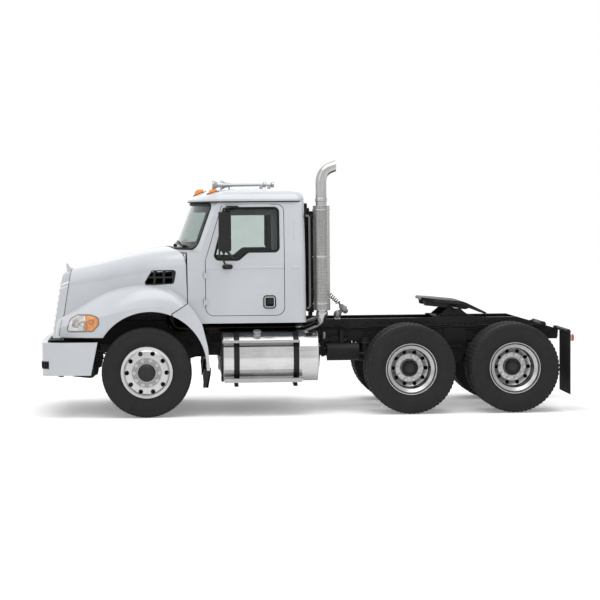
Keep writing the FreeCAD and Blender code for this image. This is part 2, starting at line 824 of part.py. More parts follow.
def hood_group():
    bonnet, fender, skin, lining = hood_parts()
    ears = both_sides([hood_hinge_ear()])
    hood = skin.fuse(lining)
    nose_ring = bonnet.common(front_slope(grille_depth + 20, 1300)).cut(front_slope(grille_depth, 1300))
    ring_opening = front_plate([(-420, 952), (420, 952), (360, 1330), (240, 1560), (-240, 1560),
                                (-360, 1330)], -1400, -700, (50, 50, 300, 120, 120, 300))
    hood = joined([hood, nose_ring.cut(ring_opening)] + ears)
    keep("hood", hood)
    keep("grille", grille(bonnet))
    lens = fender.common(lamp_prism(0)).cut(fender_body(60))
    keep("headlamps", both_sides([lens]))
    vent_back = bonnet.common(vent_prism(-pane_gap)).cut(bonnet_body(hood_wall + 24))
    slots = []
    for station in (40, 150, 260):
        for low, high in ((1545, 1612), (1632, 1690)):
            slots.append(side_plate([(station - 42, low), (station + 42, low), (station + 50, high),
                                     (station - 34, high)], 700, 1200, 6))
    keep("hood_vents", both_sides([vent_back.cut(slots)]))


# Cab: lower body, cowl shelf and greenhouse, lofted from plan outlines

# Height, front centre station, front corner station, half width
lower_cab_sections = ((cab_floor, 488.0, 490.0, 1040.0), (belt_height, 482.0, 484.0, cab_half_width),
                      (cowl_height, 480.0, 482.0, 1044.0))
upper_cab_sections = ((cowl_height, 326.0, 636.0, 1044.0), (cab_top, 540.0, 846.0, 958.0))
cab_rear_lean = 12.0
door_outline = ((door_front, door_foot), (door_rear, door_foot), (door_rear, door_head),
                (892.0, door_head), (door_front, 1812.0))
door_radii = (door_corner_radius, door_corner_radius, door_corner_radius * 0.9, 46.0, 160.0)
side_window = ((800.0, 1832.0), (1076.0, 1826.0), (1192.0, 1921.0), (1546.0, 1921.0),
               (1546.0, 2418.0), (952.0, 2418.0))
side_window_radii = (44.0, 60.0, 60.0, 44.0, 44.0, 44.0)
windshield_outline = ((-935.0, 1962.0), (935.0, 1962.0), (868.0, 2462.0), (-868.0, 2462.0))
windshield_radii = (70.0, 70.0, 60.0, 60.0)
windshield_reach = 870.0
rear_window = ((-430.0, 1950.0), (430.0, 1950.0), (430.0, 2330.0), (-430.0, 2330.0))
cabin_low_front = 705.0
toe_board_height = 1370.0
leg_outline = ((300.0, 1198.0), (486.0, 1318.0), (548.0, 1246.0), (646.0, 1085.0), (712.0, 820.0),
               (738.0, 540.0), (672.0, 540.0))


def plan_section(height, front, corner, half_width, inset, rear_shift=0.0):
    """Closed plan outline: bowed front, straight sides, square back with round corners."""
    front += inset
    corner += inset
    half_width -= inset
    rear = cab_rear - inset - rear_shift
    radius = max(cab_corner_radius - inset, 12.0)
    low = V(corner, -half_width, height)
    high = V(corner, half_width, height)
    slope = radius * (1 - math.sqrt(0.5))
    return Part.Wire([
        Part.Arc(low, V(front, 0, height), high).toShape(),
        Part.makeLine(high, V(rear - radius, half_width, height)),
        Part.Arc(V(rear - radius, half_width, height), V(rear - slope, half_width - slope, height),
                 V(rear, half_width - radius, height)).toShape(),
        Part.makeLine(V(rear, half_width - radius, height), V(rear, radius - half_width, height)),
        Part.Arc(V(rear, radius - half_width, height), V(rear - slope, slope - half_width, height),
                 V(rear - radius, -half_width, height)).toShape(),
        Part.makeLine(V(rear - radius, -half_width, height), low)])


def cab_lofts(sections, inset, low=None, high=None):
    """Loft of plan sections, its ends stretched to other heights where given."""
    wires = []
    for index, (height, front, corner, half_width) in enumerate(sections):
        shift = cab_rear_lean * (height - cab_floor) / (cab_top - cab_floor)
        if index == 0 and low is not None:
            height = low
        if index == len(sections) - 1 and high is not None:
            height = high
        wires.append(plan_section(height, front, corner, half_width, inset, shift - cab_rear_lean))
    return loft(wires, True)


def cowl():
    """Bowed shelf between the hood's rear edge and the windshield."""
    back = lower_cab_sections[2][1] + 40
    corner = V(cowl_corner, -cowl_half_width, cowl_foot)
    other = V(corner.x, -corner.y, corner.z)
    edges = [Part.Arc(corner, V(cowl_front, 0, cowl_foot), other).toShape(),
             Part.makeLine(other, V(back, other.y, other.z)),
             Part.makeLine(V(back, other.y, other.z), V(back, corner.y, corner.z)),
             Part.makeLine(V(back, corner.y, corner.z), corner)]
    return Part.Face(Part.Wire(edges)).extrude(V(0, 0, cowl_height + 2 - cowl_foot))


def cab_outer():
    return cab_lofts(lower_cab_sections, 0).fuse([cowl(), cab_lofts(upper_cab_sections, 0)])


def side_layer(inset):
    """Body of the cab sides, moved in by inset, below and above the belt."""
    return cab_lofts(lower_cab_sections, inset).fuse(cab_lofts(upper_cab_sections, inset))


def leg_prism(grow, y0, y1):
    wire = side_wire(leg_outline, y0, (0, 10, 60, 90, 300, 8, 8))
    if grow:
        wire = wire.makeOffset2D(grow)
    solid = Part.Face(wire).extrude(V(0, y1 - y0, 0))
    return solid.cut(arch_cut(arch_radius - min(grow, 0), y0 - 20, y1 + 20))


def cab_shell(outer, inner):
    floor = box(-900, 5000, -1300, 1300, 0, cab_floor + cab_wall)
    toe = box(-900, cabin_low_front, -1300, 1300, 0, toe_board_height)
    cabin = inner.cut([floor, toe])
    shell = outer.cut(cabin)
    openings = both_sides([side_plate(door_outline, 800, 1300, door_radii)])
    openings.append(front_plate(windshield_outline, 100, windshield_reach, windshield_radii))
    openings.append(front_plate(rear_window, 1700, 2000, 60))
    leg_room = both_sides([leg_prism(0, 690, 1300), arch_cut(arch_radius + 26, 560, 1300)])
    rail_seat = box(400, 2000, -rail_outer - 4, rail_outer + 4, cab_floor - 1, rail_top + seat_gap)
    lugs, pockets = door_pins()
    shell = shell.cut(openings + leg_room + [rail_seat] + both_sides(pockets))
    return joined([shell] + both_sides(lugs))


def hinge_bar(radius, z0, z1):
    """Round bar on the left door's hinge axis."""
    return upright(radius, door_hinge_station, -door_hinge_side, z0, z1)


def door_barrels():
    """Left door's hinge barrels with their leaves, bored for the pins."""
    barrels = []
    for height in door_hinge_heights:
        low, high = height - door_barrel_half, height + door_barrel_half
        leaf = box(door_hinge_station, door_front + door_gap + 20, -door_hinge_side - 4, -door_hinge_side + 14,
                   low, high)
        barrel = hinge_bar(door_barrel_radius, low, high)
        barrels.append(joined([leaf, barrel]).cut(hinge_bar(door_pin_radius + running_gap, low - 1, high + 1)))
    return barrels


def door_pins():
    """Left-hand pins with the lugs above and below each barrel, and the pockets for the barrels."""
    lugs = []
    pockets = []
    for height in door_hinge_heights:
        reach = door_barrel_half + running_gap
        lugs.append(hinge_bar(door_pin_radius, height - reach - 20, height + reach + 20))
        for z0, z1 in ((height - reach - 22, height - reach), (height + reach, height + reach + 22)):
            lugs.append(hinge_bar(door_barrel_radius, z0, z1))
        pockets.append(box(door_hinge_station - door_barrel_radius - moving_gap, door_front + 1,
                           -door_hinge_side - 30, -door_hinge_side + 24, height - reach, height + reach))
    return lugs, pockets


def door(outer, inner):
    """Left-hand door panel, as thick as the cab side, with its window cut out."""
    outline = [V(x, -1300, z) for x, z in door_outline]
    wire = rounded_wire(outline, list(door_radii)).makeOffset2D(-door_gap)
    blank = Part.Face(wire).extrude(V(0, 500, 0))
    panel = outer.cut(inner).common(blank)
    handle = side_plate([(1380, 1262), (1500, 1262), (1500, 1388), (1380, 1388)], -1058, -1040, 24)
    panel = panel.cut(side_plate(side_window, -1300, -700, list(side_window_radii)))
    return joined([panel, handle] + door_barrels())


def side_pane():
    layer = side_layer(pane_recess).cut(side_layer(pane_recess + pane_thickness))
    wire = side_wire(side_window, -1300, list(side_window_radii)).makeOffset2D(-pane_gap)
    return layer.common(Part.Face(wire).extrude(V(0, 500, 0)))


def end_pane(outline, radii, x0, x1):
    layer = side_layer(pane_recess).cut(side_layer(pane_recess + pane_thickness))
    wire = rounded_wire([V(x0, y, z) for y, z in outline], radii).makeOffset2D(-pane_gap)
    return layer.common(Part.Face(wire).extrude(V(x1 - x0, 0, 0)))


def cab_roof():
    """Domed cap that overhangs the cab top, hollow below."""
    def level(height, front, corner, half_width, rear, inset):
        radius = max(110.0 - inset, 30.0)
        slope = radius * (1 - math.sqrt(0.5))
        front += inset
        corner += inset
        half = half_width - inset
        rear -= inset
        low = V(corner, -half, height)
        high = V(corner, half, height)
        return Part.Wire([
            Part.Arc(low, V(front, 0, height), high).toShape(),
            Part.makeLine(high, V(rear - radius, half, height)),
            Part.Arc(V(rear - radius, half, height), V(rear - slope, half - slope, height),
                     V(rear, half - radius, height)).toShape(),
            Part.makeLine(V(rear, half - radius, height), V(rear, radius - half, height)),
            Part.Arc(V(rear, radius - half, height), V(rear - slope, slope - half, height),
                     V(rear - radius, -half, height)).toShape(),
            Part.makeLine(V(rear - radius, -half, height), low)])
    front = upper_cab_sections[1][1]
    corner = upper_cab_sections[1][2]
    half = upper_cab_sections[1][3]
    rise = roof_top - cab_top

    levels = ((0.0, front - 40, corner - 38, half + roof_overhang, cab_rear),
              (0.15, front - 38, corner - 36, half + roof_overhang, cab_rear),
              (0.55, front + 50, corner + 26, half - 26, cab_rear - 20),
              (0.85, front + 190, corner + 110, half - 150, cab_rear - 90),
              (1.0, front + 420, corner + 220, half - 340, cab_rear - 230))

    def dome(inset, drop):
        wires = []
        for share, x_front, x_corner, y_half, x_rear in levels:
            height = cab_top + share * rise - (drop if share > 0 else 0)
            wires.append(level(height, x_front, x_corner, y_half, x_rear, inset))
        return loft(wires[:2], True).fuse(loft(wires[1:]))
    return joined([dome(0, 0)]).cut(dome(cab_wall + 6, roof_wall))


def cab_group():
    outer = cab_outer()
    inner = cab_lofts(lower_cab_sections, cab_wall).fuse(
        cab_lofts(upper_cab_sections, cab_wall - 4, low=cowl_foot + cowl_shelf, high=cab_top + 1))
    keep("cab_shell", cab_shell(outer, inner))
    keep("cab_roof", cab_roof())
    keep("cab_glass", [end_pane(windshield_outline, windshield_radii, 100, windshield_reach),
                       end_pane(rear_window, 60, 1700, 2000)])
    left_door = door(outer, inner)
    keep("door_left", left_door)
    keep("door_right", mirrored(left_door))
    pane = side_pane()
    keep("door_glass_left", pane)
    keep("door_glass_right", mirrored(pane))


def fender_legs():
    """Painted panels behind the front wheels, hollow toward the frame."""
    skin = leg_prism(-0.3, 700, 1188).cut(leg_prism(-hood_wall, 699, 1188 - hood_wall))
    keep("fender_legs", both_sides([skin]))


# Inside the cab, seen through the glass

def dashboard():
    front = 640.0
    outline = [(front, 1560), (front + 210, 1500), (front + 250, 1660), (front + 214, 1800),
               (front + 120, 1846), (front, 1850)]
    board = side_plate(outline, -960, 960, (10, 60, 40, 50, 40, 10))
    foot_box = box(cabin_low_front + 0.3, cabin_low_front + 90, -250, 250, cab_floor + cab_wall + 0.3, 1560)
    base = V(front + 190, -480, 1640)
    top = V(front + 400, -480, 1818)
    axis = top.sub(base).normalize()
    column = rod(30, base - axis * 30, top)
    ring = Part.makeTorus(215, 15, top, axis)
    hub = rod(52, top - axis * 18, top + axis * 16)
    across_axis = V(0, 1, 0)
    other_axis = axis.cross(across_axis)
    spokes = []
    for index in range(4):
        angle = math.pi / 4 + index * math.pi / 2
        direction = across_axis * math.cos(angle) + other_axis * math.sin(angle)
        spokes.append(rod(10, top, top + direction * 214))
    keep("dashboard", joined([board, foot_box, column, ring, hub] + spokes))


def seats():
    """Two sprung seats: pedestal, cushion and leaning back."""
    base_top = 1440.0
    chairs = []
    for side in (-490.0, 490.0):
        pedestal = side_plate([(1190, cab_floor + cab_wall + 0.3), (1520, cab_floor + cab_wall + 0.3),
                               (1500, base_top), (1210, base_top)], side - 170, side + 170)
        cushion = side_plate([(1110, base_top), (1610, base_top), (1610, base_top + 110),
                              (1120, base_top + 140)], side - 255, side + 255, (30, 20, 20, 50))
        back = side_plate([(1520, base_top + 60), (1640, base_top + 60), (1720, base_top + 760),
                           (1630, base_top + 770)], side - 245, side + 245, (20, 30, 40, 40))
        chairs.append(joined([pedestal, cushion, back]))
    keep("seats", chairs)


# Engine and cooling

engine_front = -560.0
engine_rear = 460.0
engine_half_width = 335.0
engine_foot = 700.0
engine_head = 1640.0
gearbox_rear = 1300.0
shaft_height = 790.0


def powertrain():
    """Engine as one plain block, with the gearbox behind it."""
    block = front_plate([(-engine_half_width, engine_foot + 160), (-220, engine_foot), (220, engine_foot),
                         (engine_half_width, engine_foot + 160), (engine_half_width, 1400),
                         (210, engine_head), (-210, engine_head), (-engine_half_width, 1400)],
                        engine_front, engine_rear)
    housing = front_plate([(-240, 640), (240, 640), (240, 900), (150, 1010), (-150, 1010), (-240, 900)],
                          engine_rear, engine_rear + 240)
    gearbox = front_plate([(-170, 650), (170, 650), (170, 900), (110, 960), (-110, 960), (-170, 900)],
                          engine_rear + 240, gearbox_rear)
    fan_hub = rod(60, V(engine_front - 70, 0, 1240), V(engine_front, 0, 1240))
    fan = [rod(70, V(engine_front - 130, 0, 1240), V(engine_front - 60, 0, 1240))]
    for index in range(8):
        blade = box(-7, 7, 55, 290, -40, 40)
        blade.rotate(V(0, 0, 0), V(0, 1, 0), 35)
        blade.rotate(V(0, 0, 0), V(1, 0, 0), 45 * index)
        blade.translate(V(engine_front - 98, 0, 1240))
        fan.append(blade)
    bearer_half = rail_outer - rail_wall - seat_gap
    bearer = box(-60, 60, -bearer_half, bearer_half, 860, 930)
    keep("powertrain", joined([block, housing, gearbox, fan_hub, bearer] + fan))


def radiator():
    core = box(-890, -770, -370, 370, rail_bottom + 60, 1500)
    foot_half = horn_side - horn_thickness - seat_gap
    feet = box(-880, -780, -foot_half, foot_half, rail_bottom + 60, rail_bottom + 150)
    tank = side_plate([(-890, 1500), (-762, 1500), (-772, 1560), (-880, 1560)], -370, 370)
    keep("radiator", joined([core, tank, feet]))


# Fuel tanks, straps and steps

def tank():
    """Right-hand tank with bulged ends and filler neck."""
    middle = V(tank_front + tank_end_bulge, tank_side, tank_height)
    length = tank_rear - tank_front - 2 * tank_end_bulge
    ball = (tank_radius ** 2 + tank_end_bulge ** 2) / (2 * tank_end_bulge)
    body = Part.makeCylinder(tank_radius, length, middle, V(1, 0, 0))
    parts = [body]
    for station, sign in ((tank_front, 1), (tank_rear, -1)):
        cap = Part.makeSphere(ball, V(station + sign * ball, tank_side, tank_height))
        reach = rod(tank_radius, V(station, tank_side, tank_height),
                    V(station + sign * (tank_end_bulge + 1), tank_side, tank_height))
        parts.append(cap.common(reach))
    neck = rod(46, V(1290, tank_side + 110, tank_height + 215), V(1290, tank_side + 150, tank_height + 293))
    return joined(parts + [neck])


def strap(station):
    """Band round a tank, with the bracket that bears on the frame rail."""
    x0 = station - strap_width / 2
    x1 = station + strap_width / 2
    band = tube(tank_radius + strap_thickness, tank_radius + pane_gap, V(x0, tank_side, tank_height),
                V(x1, tank_side, tank_height))
    outline = [(rail_outer, rail_bottom + 100), (rail_outer + 60, rail_bottom + 100),
               (tank_side - 180, tank_height + tank_radius - 30), (tank_side - 260, tank_height),
               (tank_side - 150, tank_height - tank_radius - 20), (tank_side + 60, tank_height - tank_radius - 34),
               (tank_side + 60, tank_height - tank_radius - 60), (tank_side - 190, tank_height - tank_radius - 50),
               (rail_outer + 60, tank_height - 180), (rail_outer, rail_bottom + 30)]
    bracket = front_plate(outline, station - 24, station + 24)
    bracket = bracket.cut(rod(tank_radius + pane_gap, V(x0 - 50, tank_side, tank_height),
                              V(x1 + 50, tank_side, tank_height)))
    return joined([band, bracket])


def step(height, inner, outer, x0, x1):
    """Tread plate with a turned-down lip, on two short arms from the straps."""
    tread = box(x0, x1, inner, outer, height - step_thickness, height)
    hollow = box(x0 - 1, x1 + 1, inner - 1, outer - 6, height - step_thickness - 1, height - 6)
    tank_room = rod(tank_radius + strap_thickness + seat_gap, V(x0 - 1, tank_side, tank_height),
                    V(x1 + 1, tank_side, tank_height))
    arms = []
    for station in strap_stations:
        reach = math.sqrt((tank_radius + strap_thickness) ** 2 - (height - 12 - tank_height) ** 2)
        arms.append(box(station - 22, station + 22, tank_side + reach - 60, outer - 3,
                        height - 20, height - 5))
    return joined([tread.cut(hollow)] + arms).cut(tank_room)


def tanks_and_steps():
    keep("fuel_tanks", both_sides([tank()]))
    keep("tank_straps", both_sides([strap(station) for station in strap_stations]))
    upper = step(upper_step_height, step_outer - 90, step_outer, 881, 1787)
    lower = step(lower_step_height, step_outer - step_depth, step_outer, 899, 1810)
    keep("side_steps", both_sides([upper, lower]))


# Exhaust

def exhaust():
    """Pipe from the engine under the cab, up behind it and back at the tip."""
    side = stack_side
    low_side = -530.0
    points = [V(300, -engine_half_width, 1250), V(300, low_side, 1250), V(300, low_side, 1000),
              V(1880, low_side, 1000), V(stack_station, side, 1110), V(stack_station, side, stack_top - 132),
              V(stack_station + 190, side, stack_top - 62)]
    path_radii = [100, 100, 150, 130, 170]
    pipe = bent_tube(points, path_radii, pipe_radius)
    tip_cut = box(stack_station + 176, stack_station + 400, side - 200, side + 200, 2700, 3200)
    pipe = pipe.cut(tip_cut)
    bore = bent_tube(points[4:], path_radii[4:], pipe_radius - 5)
    bore = bore.common(box(1000, 3000, side - 200, side + 200, stack_top - 260, 3300))
    keep("exhaust_stack", pipe.cut(bore))
    ring = tube(shield_radius, shield_radius - 4, V(stack_station, side, shield_foot),
                V(stack_station, side, shield_head))
    open_back = box(stack_station - 30, stack_station + 30, side, side + 200, shield_foot - 1, shield_head + 1)
    clamps = []
    for height in (shield_foot + 60, (shield_foot + shield_head) / 2, shield_head - 60):
        clamps.append(tube(shield_radius - 2, pipe_radius + 0.3, V(stack_station, side, height),
                           V(stack_station, side, height + 30)))
    keep("exhaust_shield", joined([ring.cut(open_back)] + clamps))


def stack_mount():
    """Mast behind the cab that the stack is clamped to."""
    side = stack_side + 250
    front = stack_station - 130
    back = stack_station - 80
    knee = rail_top + 95
    post_side = -rail_outer + 30
    base = box(front, back + 40, post_side, post_side + 50, rail_top + seat_gap, rail_top + 16)
    post = box(front, back, post_side, post_side + 50, rail_top + 10, knee + 40)
    reach = box(front, back, side - 30, post_side + 50, knee, knee + 40)
    mast = box(front, back, side - 30, side + 30, knee, 2380)
    arms = [box(front, back, stack_side, side, height, height + 40) for height in (1420, 2300)]
    body = joined([base, post, reach, mast] + arms)
    return body.cut(rod(shield_radius + pane_gap, V(stack_station, stack_side, 1000),
                        V(stack_station, stack_side, 2600)))


# Drive axles and their suspension

axle_tube_radius = 66.0
bowl_radius = 215.0
base_angle_drop = 120.0
second_middle = dual_outer_middle - dual_spacing
second_inner_plane = second_middle - half_rim
bogie_station = (drive_axle_1 + drive_axle_2) / 2
spring_side = 500.0
spring_width = 76.0
saddle_height = 700.0


def drive_axle(station):
    """Tube with a round bowl in the middle, pinion nose and two spindles."""
    beam = across(axle_tube_radius, station, hub_height, -second_inner_plane + 34, second_inner_plane - 34)
    bowl = turned([(-190, 0), (-190, 70), (-120, 170), (-40, bowl_radius), (40, bowl_radius), (120, 170),
                   (190, 70), (190, 0)], station, hub_height)
    nose = rod(105, V(station - 330, 0, hub_height + 60), V(station, 0, hub_height + 60))
    flange = rod(64, V(station - 372, 0, hub_height + 60), V(station - 330, 0, hub_height + 60))
    tail = rod(58, V(station, 0, hub_height + 60), V(station + 262, 0, hub_height + 60))
    spindle = across(spindle_radius, station, hub_height, -rear_cap_end + 50, rear_cap_end - 50)
    return joined([beam, bowl, nose, flange, tail, spindle])


def drive_axles():
    keep("drive_axles", [drive_axle(drive_axle_1), drive_axle(drive_axle_2)])
    shaft_end = drive_axle_1 - 372.3
    rise = hub_height + 60
    tail_end = gearbox_rear + 0.3
    front_shaft = rod(52, V(tail_end, 0, shaft_height), V(shaft_end, 0, rise))
    ends = [box(tail_end, tail_end + 60, -60, 60, shaft_height - 60, shaft_height + 60),
            box(shaft_end - 60, shaft_end, -58, 58, rise - 58, rise + 58)]
    limit = box(tail_end, shaft_end, -200, 200, 300, 1000)
    link = rod(44, V(drive_axle_1 + 262.3, 0, rise), V(drive_axle_2 - 372.3, 0, rise))
    keep("driveshafts", [joined([front_shaft] + ends).common(limit), link])


def camel_spring():
    """Right-hand leaf pack, high at the middle saddle and low at both axles."""
    low = hub_height + axle_tube_radius + 20.3
    half = axle_spacing / 2
    leaves = []
    for index in range(5):
        reach = half + 70 - 92 * index
        top = saddle_height + 40 - 17 * index
        bottom = top - 14
        drop = (top - low) * (reach / (half + 70)) ** 2 - (14 if index == 0 else 0)
        start, end = V(bogie_station - reach, spring_side, bottom - drop), V(bogie_station + reach, spring_side,
                                                                            bottom - drop)
        upper = Part.Arc(start + V(0, 0, 14), V(bogie_station, spring_side, top), end + V(0, 0, 14))
        lower = Part.Arc(end, V(bogie_station, spring_side, bottom), start)
        wire = Part.Wire([upper.toShape(), Part.makeLine(end + V(0, 0, 14), end), lower.toShape(),
                          Part.makeLine(start, start + V(0, 0, 14))])
        leaf = Part.Face(wire).extrude(V(0, spring_width, 0))
        leaf.translate(V(0, -spring_width / 2, 0))
        leaves.append(leaf)
    return leaves


def bogie():
    """Springs on a trunnion tube, seats on the axles, hangers to the rails and torque rods."""
    trunnion = across(60, bogie_station, saddle_height - 92, rail_outer - 60, spring_side + 45)
    face = rail_outer + seat_gap
    under = rail_bottom - seat_gap
    hanger = front_plate([(face, rail_top - base_angle_drop - 6), (rail_outer + 26, rail_top - base_angle_drop - 6),
                          (rail_outer + 26, rail_bottom), (spring_side - 48, saddle_height + 40),
                          (spring_side - 48, saddle_height - 150), (rail_outer - 60, saddle_height - 150),
                          (rail_outer - 60, under), (face, under)],
                         bogie_station - 130, bogie_station + 130)
    saddle = box(bogie_station - 80, bogie_station + 80, spring_side - 46, spring_side + 46,
                 saddle_height - 120, saddle_height - 40)
    cap = box(bogie_station - 80, bogie_station + 80, spring_side - 46, spring_side + 46,
              saddle_height + 30, saddle_height + 62)
    seats_on_axles = []
    for station in (drive_axle_1, drive_axle_2):
        seat = box(station - 70, station + 70, spring_side - 50, spring_side + 50,
                   hub_height + 20, hub_height + axle_tube_radius + 22)
        seats_on_axles.append(seat.cut(across(axle_tube_radius + pane_gap, station, hub_height, 0, 900)))
    side = joined([trunnion, hanger, saddle, cap] + camel_spring() + seats_on_axles)
    rods = []
    for station, end in ((drive_axle_1, cross_stations[2] - cross_depth),
                         (drive_axle_2, cross_stations[3] - cross_depth + cross_wall)):
        inward = 1 if end > station else -1
        torque_rod = rod(26, V(station, 0, hub_height + 150), V(end + inward * 60, 0, rail_top - 95))
        beyond = sorted((end - inward * seat_gap, end + inward * 200))
        rods.append(torque_rod.cut([across(bowl_radius + seat_gap, station, hub_height, -60, 60),
                                    box(beyond[0], beyond[1], -100, 100, 700, 1100)]))
    keep("bogie_suspension", both_sides([side]) + rods)


front_spring_length = 1330.0
front_spring_side = 430.0 - 42.0


def front_springs():
    """Leaf packs below the rails, seated on the axle beam, with hangers at both ends."""
    half = front_spring_length / 2
    seat_height = eye_foot + 62.0
    packs = []
    for index in range(3):
        reach = half - 150 * index
        base = seat_height + 15 * (2 - index)
        rise = 120.0 * (reach / half) ** 2
        y0, y1 = front_spring_side - 38, front_spring_side + 38
        start = V(-reach, y0, base + rise)
        end = V(reach, y0, base + rise)
        thick = V(0, 0, 15)
        lower = Part.Arc(start, V(0, y0, base), end).toShape()
        upper = Part.Arc(end + thick, V(0, y0, base) + thick, start + thick).toShape()
        wire = Part.Wire([lower, Part.makeLine(end, end + thick), upper, Part.makeLine(start + thick, start)])
        packs.append(Part.Face(wire).extrude(V(0, y1 - y0, 0)))
    clamp = box(-75, 75, front_spring_side - 44, front_spring_side + 44, beam_top + seat_gap, seat_height + 64)
    for sign in (-1, 1):
        eye_z = seat_height + 30 + 120
        eye_x = sign * (half + 14)
        packs.append(across(26, eye_x, eye_z, front_spring_side - 38, front_spring_side + 38))
        hanger = side_plate([(eye_x - 34, eye_z - 30), (eye_x + 34, eye_z - 30), (eye_x + 60, rail_bottom - 0.3),
                             (eye_x - 60, rail_bottom - 0.3)], front_spring_side - 38, front_spring_side + 38)
        packs.append(hanger)
    side_solids = joined(packs + [clamp])
    keep("front_springs", both_sides([side_solids]))


# Fifth wheel, drawn level about its pivot and then laid back to rest

def fifth_wheel_plate():
    half = plate_half_width
    top = plate_rise
    side = [(plate_front, top - plate_thickness), (plate_front + 6, top), (ramp_start, top),
            (ramp_end, top - ramp_drop), (ramp_end - 6, top - ramp_drop - 24),
            (ramp_start - 30, top - plate_thickness)]
    plate = side_plate(side, -half, half, (12, 14, 260, 8, 8, 90))
    corners = [(plate_front, -half + 150), (plate_front + 150, -half), (60, -half), (ramp_start + 110, -half + 40),
               (ramp_end, -half + 190), (ramp_end, half - 190), (ramp_start + 110, half - 40), (60, half),
               (plate_front + 150, half), (plate_front, half - 150)]
    outline = plan_plate(corners, -200, 200, (60, 60, 80, 80, 50, 50, 80, 80, 60, 60))
    throat = plan_plate([(62, -34), (62, 34), (ramp_start + 10, 60), (ramp_end + 10, 190),
                         (ramp_end + 10, -190), (ramp_start + 10, -60)], -200, 200, (10, 10, 40, 0, 0, 40))
    plate = plate.common(outline).cut(throat)
    rim = side_plate([(plate_front + 60, top - plate_thickness - 60), (ramp_start + 40, top - plate_thickness - 60),
                      (ramp_start + 110, top - plate_thickness - 30), (ramp_start + 20, top - 20),
                      (plate_front + 40, top - 20)], 0, 18)
    ribs = []
    for y in (-330, -190, 172, 312):
        rib = rim.copy()
        rib.translate(V(0, y, 0))
        ribs.append(rib)
    cross_rib = box(-140, -120, -330, 330, top - plate_thickness - 55, top - 20)
    jaw = box(-70, 70, -95, 95, top - plate_thickness - 46, top - 10)
    lugs = []
    for y in (-330, 282):
        lugs.append(side_plate([(-62, -34), (62, -34), (92, top - 20), (-92, top - 20)], y, y + 48, (34, 34, 4, 4)))
    body = joined([plate, cross_rib, jaw] + ribs + lugs)
    pin_holes = across(plate_pin_radius + running_gap, 0, 0, -half, half)
    king = upright(kingpin_bore_radius, 0, 0, -300, 300)
    plate = body.cut([pin_holes.common(joined(lugs)), king])
    plate.rotate(V(0, 0, 0), V(0, 1, 0), fifth_wheel_rest_tilt)
    plate.translate(V(fifth_wheel_station, 0, fifth_wheel_pivot_height))
    keep("fifth_wheel_plate", plate)


def fifth_wheel_base():
    """Brackets with the pivot pins, on mounting angles along the rails."""
    pivot = fifth_wheel_pivot_height
    solids = []
    y0 = 282.0 + 48 + 6
    bracket = side_plate([(-190, rail_top + 14 - pivot), (190, rail_top + 14 - pivot), (60, 8), (44, 34),
                          (-44, 34), (-60, 8)], y0, y0 + 46, (0, 0, 30, 20, 20, 30))
    bracket.translate(V(fifth_wheel_station, 0, pivot))
    pin = across(plate_pin_radius, fifth_wheel_station, pivot, 262, y0 + 60)
    foot = box(fifth_wheel_station - 250, fifth_wheel_station + 250, rail_outer - rail_flange + 4,
               rail_outer + 14, rail_top + 0.3, rail_top + 16)
    angle = box(fifth_wheel_station - 250, fifth_wheel_station + 250, rail_outer + seat_gap,
                rail_outer + 14, rail_top - base_angle_drop, rail_top + 16)
    side = joined([bracket, pin, foot, angle])
    base_plate = box(fifth_wheel_station - 210, fifth_wheel_station + 210, -rail_outer + 40, rail_outer - 40,
                     rail_top + 0.3, rail_top + 14)
    window = box(fifth_wheel_station - 150, fifth_wheel_station + 150, -210, 210, rail_top - 1, rail_top + 20)
    keep("fifth_wheel_base", joined([side, mirrored(side), base_plate.cut(window)]))


# Small pieces that show

flap_head = 929.7


def mud_flaps():
    x1 = rear_end - 46.0
    hanger = across(22, x1 - 20, 952, rail_outer + seat_gap, 1210)
    bracket = box(x1 - 120, x1 - 8, rail_outer + 0.3, rail_outer + 12, rail_bottom + 20, 920)
    arm = box(x1 - 60, x1 - 8, rail_outer + 0.3, rail_outer + 30, 890, 975)
    strip = box(x1 - 14, x1 + 4, 560, 1216, flap_head + seat_gap, 952)
    keep("flap_hangers", both_sides([joined([hanger, strip, bracket, arm])]))
    leg_flap = side_plate([(655, 336), (668, 336), (700, 539.7), (676, 539.7)], 760, 1176)
    flap = side_plate([(x1 - 12, 215), (x1, 205), (x1 + 2, flap_head), (x1 - 10, flap_head)], 560, 1216)
    keep("mud_flaps", both_sides([flap, leg_flap]))


def tail_lamps():
    x1 = rear_end - 46.0
    body = box(x1 + 2.5, rear_end - 14, 1092, 1214, 838, 902)
    lens = rod(38, V(rear_end - 14, 1152, 870), V(rear_end, 1152, 870))
    keep("tail_lamps", both_sides([joined([body, lens])]))


